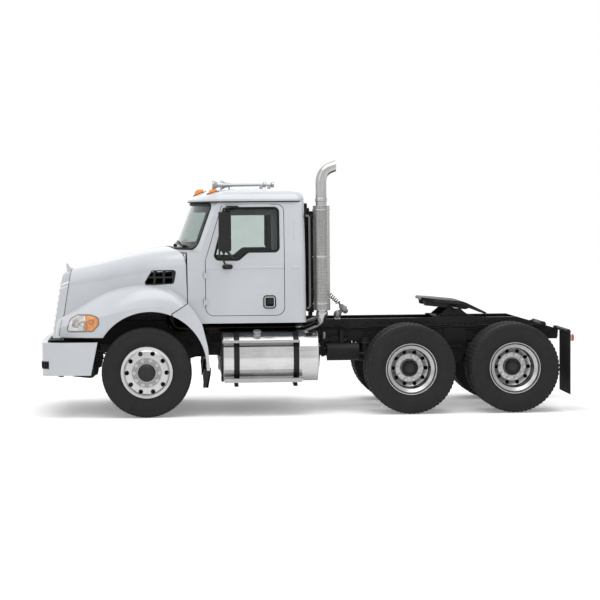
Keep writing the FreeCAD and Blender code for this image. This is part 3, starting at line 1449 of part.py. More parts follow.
def roof_pieces():
    """Marker lamps and twin air horns on the roof cap."""
    roof = pieces["cab_roof"][0]
    lamps = []
    for side, station in ((0, 640.0), (-170, 646.0), (170, 646.0), (-640, 800.0), (640, 800.0)):
        pod = side_plate([(station - 62, 2560), (station - 52, 2622), (station - 20, 2650),
                          (station + 40, 2654), (station + 70, 2560)], side - 26, side + 26, (4, 20, 20, 20, 4))
        lamps.append(pod.cut(box(station - 200, station + 200, side - 40, side + 40, 2000, 2500)))
    solids = [pod.cut(roof) for pod in lamps]
    keep("marker_lamps", [max(pod.Solids, key=lambda solid: solid.BoundBox.ZMax) for pod in solids])
    horns = []
    for side, front in ((-330.0, 800.0), (-220.0, 900.0)):
        profile = [(0, 0), (0, 52), (14, 52), (60, 30), (150, 20), (620, 15), (620, 0)]
        points = [V(front + x, side, 2702 + r) for x, r in profile]
        face = Part.Face(Part.makePolygon(points + points[:1]))
        horn = face.revolve(V(front, side, 2702), V(1, 0, 0), 360)
        mouth = Part.makeCone(42, 16, 60, V(front - 0.1, side, 2702), V(1, 0, 0))
        foot = box(front + 560, front + 600, side - 16, side + 16, 2560, 2702)
        front_foot = box(front + 90, front + 110, side - 12, side + 12, 2560, 2702)
        body = joined([horn, foot, front_foot]).cut(mouth)
        cut = body.cut(roof)
        horns.append(max(cut.Solids, key=lambda solid: solid.BoundBox.ZMax))
    keep("air_horns", horns)


def mirrors():
    """Tall mirror head on an upper arm and a curved lower arm, fixed to the door."""
    side = -1300.0
    head = plan_plate([(846, side - 60), (900, side - 70), (985, side - 56), (985, side + 60), (900, side + 66),
                       (846, side + 40)], 1926, 2380, (20, 40, 14, 14, 40, 20))
    upper = bent_tube([V(905, side, 2370), V(905, side, 2416), V(1010, -1010, 2432), V(1080, -966, 2440)],
                      [14, 40], 13)
    lower = bent_tube([V(905, side, 1932), V(905, side, 1800), V(951, -1090, 1740), V(951, -1058, 1740)],
                      [40, 60], 11)
    foot = side_plate([(890, 1712), (1012, 1712), (1012, 1768), (890, 1768)], -1076, -1052.3, 27)
    bracket = side_plate([(930, 2410), (1075, 2424), (1075, 2452), (945, 2452)], -990, -968, 8)
    mirror = joined([head, upper, lower, foot, bracket])
    door_body = pieces["door_left"][0]
    pane = pieces["door_glass_left"][0]
    clear = mirror.cut([door_body, pane])
    mirror = max(clear.Solids, key=lambda solid: solid.Volume)
    keep("mirror_left", mirror)
    keep("mirror_right", mirrored(mirror))


# Air tanks, and the coiled air line that is parked on a dummy coupling behind the cab

air_tank_radius = 105.0
air_tank_side = 560.0
air_tank_height = 700.0
air_tank_front = 2140.0
air_tank_rear = 2520.0
line_radius = 30.0
line_port_side = -250.0
line_port_height = 1500.0
line_port_radius = 24.0
line_port_depth = 26.0
coupling_station = 2277.0
coupling_side = -470.0
coupling_height = 1146.0
coupling_body_radius = 46.0
coupling_head_radius = 62.0
coupling_head_half = 27.0
coupling_lean = math.radians(40)
coupling_neck = 96.0


def cab_back(height):
    """Station of the cab's rear wall at a height."""
    return cab_rear + cab_rear_lean * (1 - (height - cab_floor) / (cab_top - cab_floor))


def air_tanks():
    tank_body = rod(air_tank_radius, V(air_tank_front, air_tank_side, air_tank_height),
                    V(air_tank_rear, air_tank_side, air_tank_height))
    middle = (air_tank_front + air_tank_rear) / 2 - 10
    hanger = box(middle - 20, middle + 20, rail_outer + seat_gap, air_tank_side,
                 air_tank_height - 10, air_tank_height + 260)
    keep("air_tanks", both_sides([joined([tank_body, hanger])]))


def line_post():
    """Dummy coupling on the left rail, and the port on the cab's rear wall."""
    centre = V(coupling_station, coupling_side, coupling_height)
    out = V(math.cos(coupling_lean), 0, math.sin(coupling_lean))
    head = centre + out * coupling_neck
    foot = box(coupling_station - 34, coupling_station + 34, coupling_side - 40, coupling_side + 70,
               rail_top + seat_gap, rail_top + 12)
    stem = rod(16, V(coupling_station, coupling_side, rail_top + 8), centre)
    ball = Part.makeSphere(coupling_body_radius, centre)
    neck = rod(24, centre, head)
    disc = rod(coupling_head_radius, head - out * coupling_head_half, head + out * coupling_head_half)
    rim = disc.makeChamfer(9, [edge for edge in disc.Edges if edge.Closed and len(edge.Vertexes) == 1
                               and isinstance(edge.Curve, Part.Circle)])
    wall = cab_back(line_port_height)
    port = rod(line_port_radius, V(wall + seat_gap, line_port_side, line_port_height),
               V(wall + seat_gap + line_port_depth, line_port_side, line_port_height))
    keep("line_post", [joined([foot, stem, ball, neck, rim]), port])
    return head, out


def air_line(head, out):
    """Coiled line drawn as one tube of the coil's width, from its port to the coupling's head."""
    start = V(cab_back(line_port_height) + line_port_depth + 2 * seat_gap, line_port_side, line_port_height)
    end = head + V(-out.z, 0, out.x) * (coupling_head_radius + line_radius * 0.1)
    points = [start, start + V(110, 0, 0), V(2140, coupling_side + 60, 1440), end]
    keep("air_line", bent_tube(points, route_radii(points), line_radius))


def air_pieces():
    air_tanks()
    air_line(*line_post())


def build():
    wheels()
    steering()
    frame()
    hood_group()
    cab_group()
    fender_legs()
    dashboard()
    seats()
    powertrain()
    radiator()
    tanks_and_steps()
    exhaust()
    keep("stack_mount", stack_mount())
    drive_axles()
    bogie()
    front_springs()
    fifth_wheel_plate()
    fifth_wheel_base()
    mud_flaps()
    tail_lamps()
    roof_pieces()
    mirrors()
    air_pieces()


def export():
    os.makedirs("parts", exist_ok=True)
    for name, solids in pieces.items():
        shape = Part.makeCompound(solids) if len(solids) > 1 else solids[0].copy()
        shape.translate(V(-centre_station, 0, 0))
        shape.exportStep("parts/%s.step" % name)


build()
export()
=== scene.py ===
import json
from math import ceil, copysign, cos, pi, radians, sin, tan, tau

import bmesh
import bpy
from mathutils import Matrix, Vector
from mathutils.bvhtree import BVHTree

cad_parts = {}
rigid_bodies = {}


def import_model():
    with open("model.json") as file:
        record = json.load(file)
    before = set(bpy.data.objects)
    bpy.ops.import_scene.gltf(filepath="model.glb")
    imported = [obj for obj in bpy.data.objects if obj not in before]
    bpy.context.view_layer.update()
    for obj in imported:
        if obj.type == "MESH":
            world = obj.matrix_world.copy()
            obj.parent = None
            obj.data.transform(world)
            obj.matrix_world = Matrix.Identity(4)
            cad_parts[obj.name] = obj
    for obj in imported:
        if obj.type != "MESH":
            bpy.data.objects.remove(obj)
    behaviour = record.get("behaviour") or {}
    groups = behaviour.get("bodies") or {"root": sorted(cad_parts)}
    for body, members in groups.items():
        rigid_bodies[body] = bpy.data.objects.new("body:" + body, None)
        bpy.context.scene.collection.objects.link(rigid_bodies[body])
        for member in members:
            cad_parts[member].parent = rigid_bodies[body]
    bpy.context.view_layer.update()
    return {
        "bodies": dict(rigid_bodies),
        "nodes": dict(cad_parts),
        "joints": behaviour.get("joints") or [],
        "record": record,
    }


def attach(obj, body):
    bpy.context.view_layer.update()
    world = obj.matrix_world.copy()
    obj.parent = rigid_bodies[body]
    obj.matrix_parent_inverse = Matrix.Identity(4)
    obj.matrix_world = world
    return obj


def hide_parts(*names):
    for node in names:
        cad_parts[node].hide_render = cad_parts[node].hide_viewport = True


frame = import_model()
cadNodes = frame["nodes"]
noseShift = 1.8825  # the front axle lies this far ahead of the origin
axleHeight = 0.525
hands = ((1, "right"), (-1, "left"))
upright, down = Vector((0, 0, 1)), Vector((0, 0, -1))
print("frame loaded with", len(cadNodes), "nodes")


# Points and meshes

def spot(station, side, height):
    # a place given by its distance behind the front axle
    return Vector((station - noseShift, side, height))


def finishMesh(name, mesh, look, body, smooth=True, replaced=()):
    work = bmesh.new()
    work.from_mesh(mesh)
    bmesh.ops.remove_doubles(work, verts=work.verts, dist=0.00002)
    bmesh.ops.recalc_face_normals(work, faces=work.faces)
    work.to_mesh(mesh)
    work.free()
    mesh.polygons.foreach_set("use_smooth", [smooth] * len(mesh.polygons))
    mesh.materials.clear()
    mesh.materials.append(finish[look])
    piece = addObject(name, mesh)
    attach(piece, body)
    if replaced:
        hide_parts(*replaced)
    return piece


def addObject(name, data):
    item = bpy.data.objects.new(name, data)
    bpy.context.scene.collection.objects.link(item)
    return item


def evaluatedMesh(item):
    # plain mesh of an object with its modifiers or curve shape worked out
    graph = bpy.context.evaluated_depsgraph_get()
    return bpy.data.meshes.new_from_object(item.evaluated_get(graph), depsgraph=graph)


def rowFaces(rows, size, loop=False, tube=True):
    # faces between rows of points that lie one after another
    faces = []
    for row in range(rows if loop else rows - 1):
        here, there = row * size, (row + 1) % rows * size
        for step in range(size if tube else size - 1):
            after = (step + 1) % size
            faces.append((here + step, here + after, there + after, there + step))
    return faces


def capFaces(rows, size):
    return [tuple(range(size))[::-1], tuple(range((rows - 1) * size, rows * size))]


def tubeFaces(rows, size):
    return rowFaces(rows, size) + capFaces(rows, size)


def around(points, index, closed):
    # vector from the point before to the point after
    last = len(points) - 1
    if closed:
        return points[(index + 1) % len(points)] - points[index - 1]
    return points[min(index + 1, last)] - points[max(index - 1, 0)]


class Shape:
    # gathers points and faces of one piece before it becomes a mesh
    def __init__(self):
        self.verts = []
        self.faces = []

    def add(self, verts, faces):
        start = len(self.verts)
        self.verts += [Vector(v) for v in verts]
        self.faces += [tuple(start + i for i in face) for face in faces]
        return self

    def block(self, low, high):
        corners = [(x, y, z) for z in (low[2], high[2]) for y in (low[1], high[1]) for x in (low[0], high[0])]
        return self.add(corners, [(0, 2, 3, 1), (4, 5, 7, 6), (0, 1, 5, 4), (2, 6, 7, 3), (0, 4, 6, 2), (1, 3, 7, 5)])

    def prism(self, outline, away):
        # outline of points in one plane, carried along the vector away
        ring = [Vector(p) for p in outline]
        return self.add(ring + [p + Vector(away) for p in ring], tubeFaces(2, len(ring)))

    def turn(self, profile, centre, axis, steps, closed=False):
        # profile of (along, radius) pairs turned about an axis through centre
        axis = Vector(axis).normalized()
        side = axis.orthogonal().normalized()
        other = axis.cross(side)
        verts = []
        for step in range(steps):
            angle = tau * step / steps
            out = side * cos(angle) + other * sin(angle)
            verts += [Vector(centre) + axis * along + out * radius for along, radius in profile]
        return self.add(verts, rowFaces(steps, len(profile), loop=True, tube=closed))

    def sweep(self, path, radius, steps=8, flat=1.0):
        # round or flattened bar along a path
        points = [Vector(p) for p in path]
        verts = []
        previous = None
        for index, point in enumerate(points):
            ahead = around(points, index, False).normalized()
            if previous is None:
                previous = ahead.orthogonal().normalized()
            previous = (previous - ahead * previous.dot(ahead)).normalized()
            other = ahead.cross(previous)
            size = radius[index] if isinstance(radius, (list, tuple)) else radius
            for step in range(steps):
                angle = tau * step / steps
                verts.append(point + previous * cos(angle) * size + other * sin(angle) * size * flat)
        return self.add(verts, tubeFaces(len(points), steps))

    def strip(self, path, width, height, closed=True):
        # low rounded band laid along a path of (point, normal) pairs
        profile = ((-0.5, -0.4), (-0.5, 0.45), (-0.32, 0.9), (0.0, 1.0), (0.32, 0.9), (0.5, 0.45), (0.5, -0.4))
        points = [point for point, _ in path]
        verts = []
        for index, (point, normal) in enumerate(path):
            across = around(points, index, closed).normalized().cross(normal).normalized()
            verts += [point + across * width * a + normal * height * b for a, b in profile]
        size = len(path), len(profile)
        return self.add(verts, rowFaces(*size, loop=True) if closed else tubeFaces(*size))

    def studs(self, centre, axis, first, count, circle, low, high, radius):
        # short bars along an axis, spaced round it
        for turn in range(count):
            foot = centre + Matrix.Rotation(tau * turn / count, 3, axis) @ first * circle
            self.sweep([foot + axis * low, foot + axis * high], radius, 6)

    def both(self):
        # the same shape with its mirror image on the other side of the truck
        mirrored = [(v.x, -v.y, v.z) for v in self.verts]
        return Shape().add(self.verts, self.faces).add(mirrored, [face[::-1] for face in self.faces])

    def make(self, name, look, body="root", smooth=True, replaced=(), bevel=0.0):
        mesh = bpy.data.meshes.new(name)
        mesh.from_pydata([tuple(v) for v in self.verts], [], self.faces)
        mesh.validate()
        piece = finishMesh(name, mesh, look, body, smooth, replaced)
        if bevel:
            edge = piece.modifiers.new("edge", "BEVEL")
            edge.width = bevel
            edge.segments = 2
            edge.limit_method = "ANGLE"
            edge.angle_limit = radians(40)
        return piece


def roundedLoop(corners, radii, steps=6):
    # closed 2-D outline with rounded corners
    count = len(corners)
    if not isinstance(radii, (list, tuple)):
        radii = [radii] * count
    points = []
    for index, radius in enumerate(radii):
        corner = Vector(corners[index])
        before = (Vector(corners[index - 1]) - corner).normalized()
        after = (Vector(corners[(index + 1) % count]) - corner).normalized()
        half = before.angle(after) / 2
        reach = radius / tan(half)
        centre = corner + (before + after).normalized() * (radius / sin(half))
        first, last = corner + before * reach - centre, corner + after * reach - centre
        points += [centre + first.lerp(last, step / steps).normalized() * radius for step in range(steps + 1)]
    return points


def spaced(loop, gap):
    # the same closed outline with points no further apart than gap
    points = []
    for index, point in enumerate(loop):
        following = loop[(index + 1) % len(loop)]
        pieces = max(1, ceil((following - point).length / gap))
        points += [point.lerp(following, step / pieces) for step in range(pieces)]
    return points


def grown(loop, gap):
    # the same closed 2-D outline moved outward by a gap
    area = sum(loop[i - 1].x * loop[i].y - loop[i].x * loop[i - 1].y for i in range(len(loop)))
    gap = copysign(gap, area * gap)
    points = []
    for index, point in enumerate(loop):
        along = around(loop, index, True).normalized()
        points.append(point + Vector((along.y, -along.x)) * gap)
    return points


def edgeLoop(corners, radii, gap=0.0, step=0.02):
    # rounded outline moved outward, with points close enough to follow a skin
    return spaced(grown(roundedLoop(corners, radii), gap), step)


def rectangle(x0, y0, x1, y1):
    return (x0, y0), (x1, y0), (x1, y1), (x0, y1)


def surfaceOf(names):
    # ray test against CAD nodes, which stay as they are
    verts, faces = [], []
    for name in names.split():
        mesh = cadNodes[name].data
        start = len(verts)
        verts += [v.co.copy() for v in mesh.vertices]
        faces += [tuple(start + i for i in poly.vertices) for poly in mesh.polygons]
    return BVHTree.FromPolygons(verts, faces)


def cast(tree, origin, direction):
    # a list with the (point, normal) where a ray meets the skin, or an empty one
    hit, normal, _, _ = tree.ray_cast(origin, Vector(direction))
    return [] if hit is None else [(hit, normal)]


def projected(tree, loop, origin, direction, lift=0.0):
    # points on the skin that lie under a loop, lifted off it along its normal
    found = []
    for point in loop:
        for hit, normal in cast(tree, origin(point), direction):
            normal = -normal if normal.dot(Vector(direction)) > 0 else normal
            found.append((hit + normal * lift, normal))
    return found


def sideLoop(tree, loop, side, lift=0.0):
    # an outline drawn as (station, height), laid on the skin of one side
    return projected(tree, loop, lambda p: spot(p.x, side * 1.6, p.y), (0, -side, 0), lift)


def sideStrips(name, look, nodes, body, loop, width, height, closed=True):
    # the same band on the skin of both sides; @ in a name stands for the side
    for side, hand in hands:
        path = sideLoop(surfaceOf(nodes.replace("@", hand)), loop, side)
        Shape().strip(path, width, height, closed).make(name.replace("@", hand), look, body.replace("@", hand))


def frontLoop(tree, loop, lift=0.0, reach=-3.4):
    # an outline drawn as (side, height), laid on the skin of the front, or of the rear from a reach behind it
    return projected(tree, loop, lambda p: Vector((reach, p.x, p.y)), (copysign(1, -reach), 0, 0), lift)


# Finishes

class Graph:
    # adds nodes to a shader tree; inputs are numbers, colours or the outputs of other nodes
    def __init__(self, tree):
        self.tree = tree

    def fill(self, node, inputs):
        for label, value in inputs.items():
            socket = node.inputs[label]
            if isinstance(value, bpy.types.NodeSocket):
                self.tree.links.new(value, socket)
            else:
                socket.default_value = (*value, 1.0) if socket.type == "RGBA" else value

    def node(self, kind, inputs, output=0, **settings):
        made = self.tree.nodes.new("ShaderNode" + kind)
        for label, value in settings.items():
            setattr(made, label, value)
        self.fill(made, inputs)
        return made.outputs[output]

    def math(self, kind, *values):
        return self.node("Math", dict(enumerate(values)), operation=kind)

    def span(self, value, low, high, first=0.0, last=1.0, kind="LINEAR"):
        return self.node("MapRange", {"Value": value, "From Min": low, "From Max": high, "To Min": first,
                                      "To Max": last}, interpolation_type=kind)

    def mix(self, share, first, second):
        return self.node("Mix", {0: share, 6: first, 7: second}, 2, data_type="RGBA")

    def seenDirectly(self, hidden, seen):
        # one value for what the camera sees, itself or in metal and glass, and another for what is lit
        path = self.tree.nodes.new("ShaderNodeLightPath").outputs
        direct = self.math("MAXIMUM", path["Is Camera Ray"], path["Is Transmission Ray"])
        return self.span(self.math("MAXIMUM", direct, path["Is Glossy Ray"]), 0.0, 1.0, hidden, seen)


class Coat(Graph):
    # a material whose patterns all sit on the object's own coordinates
    def __init__(self, name):
        self.material = bpy.data.materials.new(name)
        self.material.use_nodes = True
        super().__init__(self.material.node_tree)
        self.shader = self.tree.nodes["Principled BSDF"]
        self.coords = self.tree.nodes.new("ShaderNodeTexCoord").outputs

    def noise(self, scale, detail=3.0, roughness=0.55, stretch=None):
        source = self.coords["Object"]
        if stretch:
            source = self.node("Mapping", {"Vector": source, "Scale": stretch})
        return self.node("TexNoise", {"Vector": source, "Scale": scale, "Detail": detail, "Roughness": roughness})

    def pattern(self, kind, scale, output, distortion=0.0):
        inputs = {"Vector": self.coords["Object"], "Scale": scale}
        if distortion:
            inputs["Distortion"] = distortion
        return self.node(kind, inputs, output)

    def along(self, axis):
        return self.node("SeparateXYZ", {"Vector": self.coords["Object"]}, axis)

    def ramp(self, value, *stops):
        ramp = self.tree.nodes.new("ShaderNodeValToRGB")
        elements = ramp.color_ramp.elements
        while len(elements) < len(stops):
            elements.new(0.5)
        for element, (place, colour) in zip(elements, stops):
            element.position = place
            element.color = (*colour, 1.0)
        self.tree.links.new(value, ramp.inputs["Fac"])
        return ramp.outputs["Color"]

    def blend(self, first, share, second):
        return self.math("ADD", self.math("MULTIPLY", first, share), self.math("MULTIPLY", second, 1 - share))

    def facingAway(self, centre):
        # 1 where a face looks away from the centre point, 0 where it looks toward it
        offset = self.node("VectorMath", {0: self.coords["Object"], 1: centre}, operation="SUBTRACT")
        dot = self.node("VectorMath", {0: offset, 1: self.coords["Normal"]}, "Value", operation="DOT_PRODUCT")
        return self.span(dot, -0.02, 0.02)

    def bump(self, height, distance):
        normal = self.node("Bump", {"Height": height, "Distance": distance, "Strength": 1.0}, "Normal")
        self.tree.links.new(normal, self.shader.inputs["Normal"])

    def done(self, colour, roughness, bump=None, coat=None, **more):
        # bump is (height, distance), coat is (weight, roughness); the rest are the shader's own inputs
        self.fill(self.shader, {"Base Color": colour, "Roughness": roughness})
        if bump:
            self.bump(*bump)
        if coat:
            self.fill(self.shader, {"Coat Weight": coat[0], "Coat Roughness": coat[1]})
        self.fill(self.shader, {label.replace("_", " "): value for label, value in more.items()})
        return self.material


def scaled(colour, share):
    return tuple(min(1.0, c * share) for c in colour)


def plainFinish(name, colour, roughness, vary, grain, bump=0.0004, metallic=0.0, coat=0.0, specular=0.5):
    # a colour broken up by soft mottling, with a fine grain in gloss and height
    paint = Coat(name)
    fine = paint.noise(grain, 4.0, 0.6)
    both = paint.blend(paint.noise(3.1, 4.0, 0.6), 0.6, fine)
    return paint.done(paint.ramp(both, (0.3, scaled(colour, 1 - vary)), (0.7, scaled(colour, 1 + vary))),
                      paint.span(fine, 0.3, 0.7, roughness - 0.08, roughness + 0.08), (fine, bump), (coat, 0.08),
                      Metallic=metallic, Specular_IOR_Level=specular)


paintSettings = {
    "colour": (0.475, 0.495, 0.522),
    "shade": (0.435, 0.455, 0.483),
    "grime": (0.34, 0.33, 0.32),
    "grimeHeight": 0.9,
    "roughness": 0.32,
    "coat": 0.55,
    "trim": (0.035, 0.04, 0.042),
    "archBlack": (0.008, 0.008, 0.009),
    "arch": (0.045 - noseShift, 0.58, 0.652),
}


def paintFinish(name, inside=None, arch=False):
    # cool white enamel; faces that look toward the inside point are dark trim, and the wheel arch is black
    look = paintSettings
    paint = Coat(name)
    cloud = paint.noise(1.7, 5.0, 0.55)
    low = paint.span(paint.along("Z"), look["grimeHeight"], 0.35, 0.0, 0.14, "SMOOTHSTEP")
    dirt = paint.math("MULTIPLY", low, paint.span(paint.noise(26.0, 5.0, 0.65), 0.42, 0.72))
    colour = paint.mix(dirt, paint.ramp(cloud, (0.32, look["shade"]), (0.66, look["colour"])), look["grime"])
    rough = paint.span(cloud, 0.3, 0.7, look["roughness"] - 0.05, look["roughness"] + 0.06)
    if inside is not None:
        outside = paint.facingAway(inside)
        colour = paint.mix(outside, look["trim"], colour)
        rough = paint.math("ADD", rough, paint.span(outside, 0.0, 1.0, 0.35, 0.0))
    if arch:
        ahead, up, radius = look["arch"]
        dx = paint.math("SUBTRACT", paint.along("X"), ahead)
        dz = paint.math("SUBTRACT", paint.along("Z"), up)
        square = paint.math("ADD", paint.math("MULTIPLY", dx, dx), paint.math("MULTIPLY", dz, dz))
        clear = paint.span(paint.math("SQRT", square), radius, radius + 0.002)
        colour = paint.mix(clear, look["archBlack"], colour)
    return paint.done(colour, rough, (paint.noise(320.0, 2.0, 0.5), 0.00012), (look["coat"], 0.12))


def glassFinish(name, tint):
    # thin tinted pane: clear with a coloured body, and a shadow that lets light through
    pane = Coat(name)
    smear = pane.noise(5.0)
    pane.done(pane.ramp(smear, (0.3, scaled(tint, 0.94)), (0.7, tint)), pane.span(smear, 0.3, 0.7, 0.0, 0.03),
              coat=(0.35, 0.02), Transmission_Weight=1.0, IOR=1.12, Specular_IOR_Level=0.75)
    shadow = pane.tree.nodes.new("ShaderNodeLightPath").outputs["Is Shadow Ray"]
    clear = pane.node("BsdfTransparent", {"Color": tuple(c ** 0.5 for c in tint)})
    both = pane.node("MixShader", {0: shadow, 1: pane.shader.outputs["BSDF"], 2: clear})
    pane.fill(pane.tree.nodes["Material Output"], {"Surface": both})
    return pane.material


def tyreFinish():
    # dark rubber mottled with dusty, drier patches, with a fine grain in height
    rubber = Coat("tyreRubber")
    dust, fine = rubber.noise(9.0, 6.0, 0.65), rubber.noise(140.0, 3.0, 0.6)
    both = rubber.blend(dust, 0.7, fine)
    return rubber.done(rubber.ramp(both, (0.3, (0.009, 0.009, 0.0092)), (0.72, (0.024, 0.024, 0.0245))),
                       rubber.span(dust, 0.3, 0.7, 0.62, 0.8), (fine, 0.0006), Specular_IOR_Level=0.2)


def brightFinish(name, colour, roughness, vary, grain, stretch=None, bump=0.00015, dark=None):
    # metal with a drawn or turned grain, dulled in soft patches; dark is (axis, low, high, colour) where it ends:
    # past that plane the metal takes the dark colour, which on the drive wheels is painted shade on the inner disc
    # behind the hand holes
    metal = Coat(name)
    lines = metal.noise(grain, 4.0, 0.7, stretch)
    both = metal.blend(lines, 0.5, metal.noise(4.0, 5.0, 0.6))
    shine = metal.ramp(both, (0.3, scaled(colour, 1 - vary)), (0.7, colour))
    if dark:
        # iron holds the dark colour past the plane; on the drive wheels it is painted shade
        axis, low, high, iron = dark
        place = metal.along(axis)
        if axis == "Y":
            place = metal.math("ABSOLUTE", place)
        shine = metal.mix(metal.span(place, low, high), iron, shine)
    return metal.done(shine, metal.span(both, 0.3, 0.7, roughness * 0.7, roughness * 1.4), (lines, bump),
                      Metallic=1.0)


def headlampFinish():
    # clear faceted lens with an orange rear part, split into brighter and darker cells: painted reflections of a
    # reflector behind the lens
    lens = Coat("headlampLens")
    cells = lens.node("SeparateColor", {"Color": lens.pattern("TexVoronoi", 15.0, "Color")}, "Red")
    # painted reflections: lighter and darker greys, cell by cell
    facetReflections = lens.ramp(cells, (0.0, (0.3, 0.29, 0.28)), (0.35, (0.62, 0.6, 0.58)), (0.6, (0.78, 0.77, 0.76)),
                      (1.0, (0.46, 0.4, 0.36)))
    orange = lens.ramp(lens.noise(30.0, 2.0), (0.35, (0.6, 0.17, 0.02)), (0.65, (0.82, 0.3, 0.04)))
    rear = lens.span(lens.along("X"), -0.712 - noseShift, -0.704 - noseShift)
    return lens.done(lens.mix(rear, facetReflections, orange), 0.12, (lens.pattern("TexWave", 28.0, "Fac"), 0.003), (1.0, 0.03))


def tailLampFinish():
    # red lens in a bright housing
    lamp = Coat("tailLampParts")
    ribs = lamp.pattern("TexWave", 60.0, "Fac")
    lens = lamp.span(lamp.along("X"), 3.089, 3.0894)
    red = lamp.ramp(ribs, (0.2, (0.42, 0.006, 0.006)), (0.8, (0.62, 0.02, 0.02)))
    return lamp.done(lamp.mix(lens, (0.35, 0.35, 0.36), red), 0.18, (ribs, 0.0006),
                     Metallic=lamp.span(lens, 0.0, 1.0, 0.9, 0.0))


def clothFinish(name, colour):
    cloth = Coat(name)
    weave = cloth.pattern("TexWave", 160.0, "Fac", 1.5)
    both = cloth.blend(weave, 0.4, cloth.noise(14.0, 4.0))
    return cloth.done(cloth.ramp(both, (0.25, scaled(colour, 0.7)), (0.75, colour)), 0.92, (weave, 0.0008),
                      Sheen_Weight=0.4)


cabCentre = (1.15 - noseShift, 0.0, 1.75)
hoodCentre = (-0.35 - noseShift, 0.0, 0.95)
finish = {
    # plain: name, colour, roughness, how far it varies, grain, height of the bumps; bright: the stretch comes last
    "cabPaint": paintFinish("cabPaint", inside=cabCentre, arch=True),
    "hoodPaint": paintFinish("hoodPaint", inside=hoodCentre, arch=True),
    "paint": paintFinish("whitePaint"),
    "legPaint": paintFinish("legPaint", arch=True),
    "chassis": plainFinish("chassisBlack", (0.0075, 0.0075, 0.008), 0.5, 0.6, 30.0, specular=0.22),
    "plastic": plainFinish("blackPlastic", (0.009, 0.009, 0.0095), 0.46, 0.2, 260.0, 0.0003, specular=0.28),
    "trim": plainFinish("cabTrim", (0.045, 0.05, 0.05), 0.7, 0.2, 180.0),
    "gasket": plainFinish("rubberGasket", (0.008, 0.0085, 0.0085), 0.6, 0.2, 120.0, specular=0.22),
    "chrome": brightFinish("chrome", (0.6, 0.615, 0.64), 0.09, 0.12, 40.0, bump=0.00005),
    "alloy": brightFinish("polishedAlloy", (0.56, 0.56, 0.56), 0.3, 0.24, 30.0),
    "tankAlloy": brightFinish("tankAlloy", (0.6, 0.6, 0.605), 0.15, 0.34, 3.0, (1.0, 26.0, 26.0)),
    "stainless": brightFinish("shieldSteel", (0.42, 0.415, 0.405), 0.26, 0.3, 3.0, (30.0, 30.0, 1.2)),
    # kept dark; on the front wheels' flange ring this is partly painted shade round the wheel nuts
    "steelFlange": brightFinish("wheelFlange", (0.3, 0.3, 0.305), 0.36, 0.18, 90.0),
    "tread": brightFinish("treadPlate", (0.46, 0.46, 0.46), 0.36, 0.35, 60.0),
    "tyre": tyreFinish(),
    "rubber": plainFinish("flapRubber", (0.009, 0.009, 0.0095), 0.66, 0.35, 60.0, 0.0008, specular=0.22),
    "glass": glassFinish("tintedGlass", (0.715, 0.775, 0.757)),
    "screen": glassFinish("windshieldGlass", (0.575, 0.645, 0.632)),
    "lamp": headlampFinish(),
    "amber": plainFinish("amberLens", (0.9, 0.26, 0.02), 0.16, 0.2, 90.0, coat=1.0),
    "iron": plainFinish("axleIron", (0.0075, 0.0075, 0.008), 0.55, 0.6, 22.0, 0.0015, specular=0.22),
    "engine": plainFinish("enginePaint", (0.022, 0.023, 0.024), 0.5, 0.35, 24.0, 0.001, specular=0.3),
    "core": plainFinish("radiatorCore", (0.02, 0.02, 0.02), 0.55, 0.3, 200.0, 0.001),
    "cloth": clothFinish("seatCloth", (0.075, 0.08, 0.09)),
    "cap": plainFinish("hubCapBlack", (0.01, 0.01, 0.0105), 0.36, 0.3, 50.0, specular=0.35),
    "mirrorGlass": brightFinish("mirrorFace", (0.7, 0.72, 0.73), 0.03, 0.03, 5.0, bump=0.0),
    # near-black sheets that paint the shade inside recesses and openings
    "cavityShade": plainFinish("darkCavity", (0.004, 0.004, 0.0045), 0.8, 0.3, 80.0, specular=0.2),
    "grease": plainFinish("plateGrease", (0.009, 0.009, 0.0095), 0.4, 0.7, 14.0, 0.002, specular=0.3),
    "bezel": plainFinish("lampBezel", (0.16, 0.165, 0.17), 0.35, 0.2, 90.0, specular=0.4),
    "coupling": plainFinish("couplingAlloy", (0.3, 0.3, 0.3), 0.4, 0.35, 120.0, 0.0006, 0.6),
    "stack": brightFinish("stackSteel", (0.5, 0.495, 0.485), 0.2, 0.34, 3.0, (30.0, 30.0, 1.2),
                          dark=("X", 1.76 - noseShift, 1.84 - noseShift, (0.012, 0.011, 0.01))),
    "tailLamp": tailLampFinish(),
    # drive wheels: near-black inboard of the outer disc, painted shade seen through the hand holes
    "driveWheel": brightFinish("driveWheelAlloy", (0.46, 0.46, 0.46), 0.28, 0.24, 30.0,
                               dark=("Y", 0.922, 0.926, (0.01, 0.01, 0.01))),
    "coil": plainFinish("coilGrey", (0.11, 0.11, 0.112), 0.38, 0.3, 90.0, specular=0.5),
    "horn": brightFinish("hornAlloy", (0.42, 0.43, 0.44), 0.14, 0.2, 40.0),
}
nodesOf = {
    "hoodPaint": "hood", "cabPaint": "cab_shell cab_roof door_left door_right", "legPaint": "fender_legs",
    "paint": "bumper", "chrome": "grille", "lamp": "headlamps", "screen": "cab_glass", "trim": "dashboard",
    "plastic": "hood_vents mirror_left mirror_right", "glass": "door_glass_left door_glass_right",
    "cloth": "seats", "engine": "powertrain", "core": "radiator", "tankAlloy": "fuel_tanks",
    "tread": "side_steps", "stack": "exhaust_stack", "stainless": "exhaust_shield", "rubber": "mud_flaps",
    "tailLamp": "tail_lamps", "amber": "marker_lamps", "horn": "air_horns", "grease": "fifth_wheel_plate",
    "coupling": "line_post",
    "chassis": "tank_straps stack_mount air_tanks frame_rails crossmembers frame_horns fifth_wheel_base flap_hangers",
}
nodeFinish = {nodeName: look for look, names in nodesOf.items() for nodeName in names.split()}
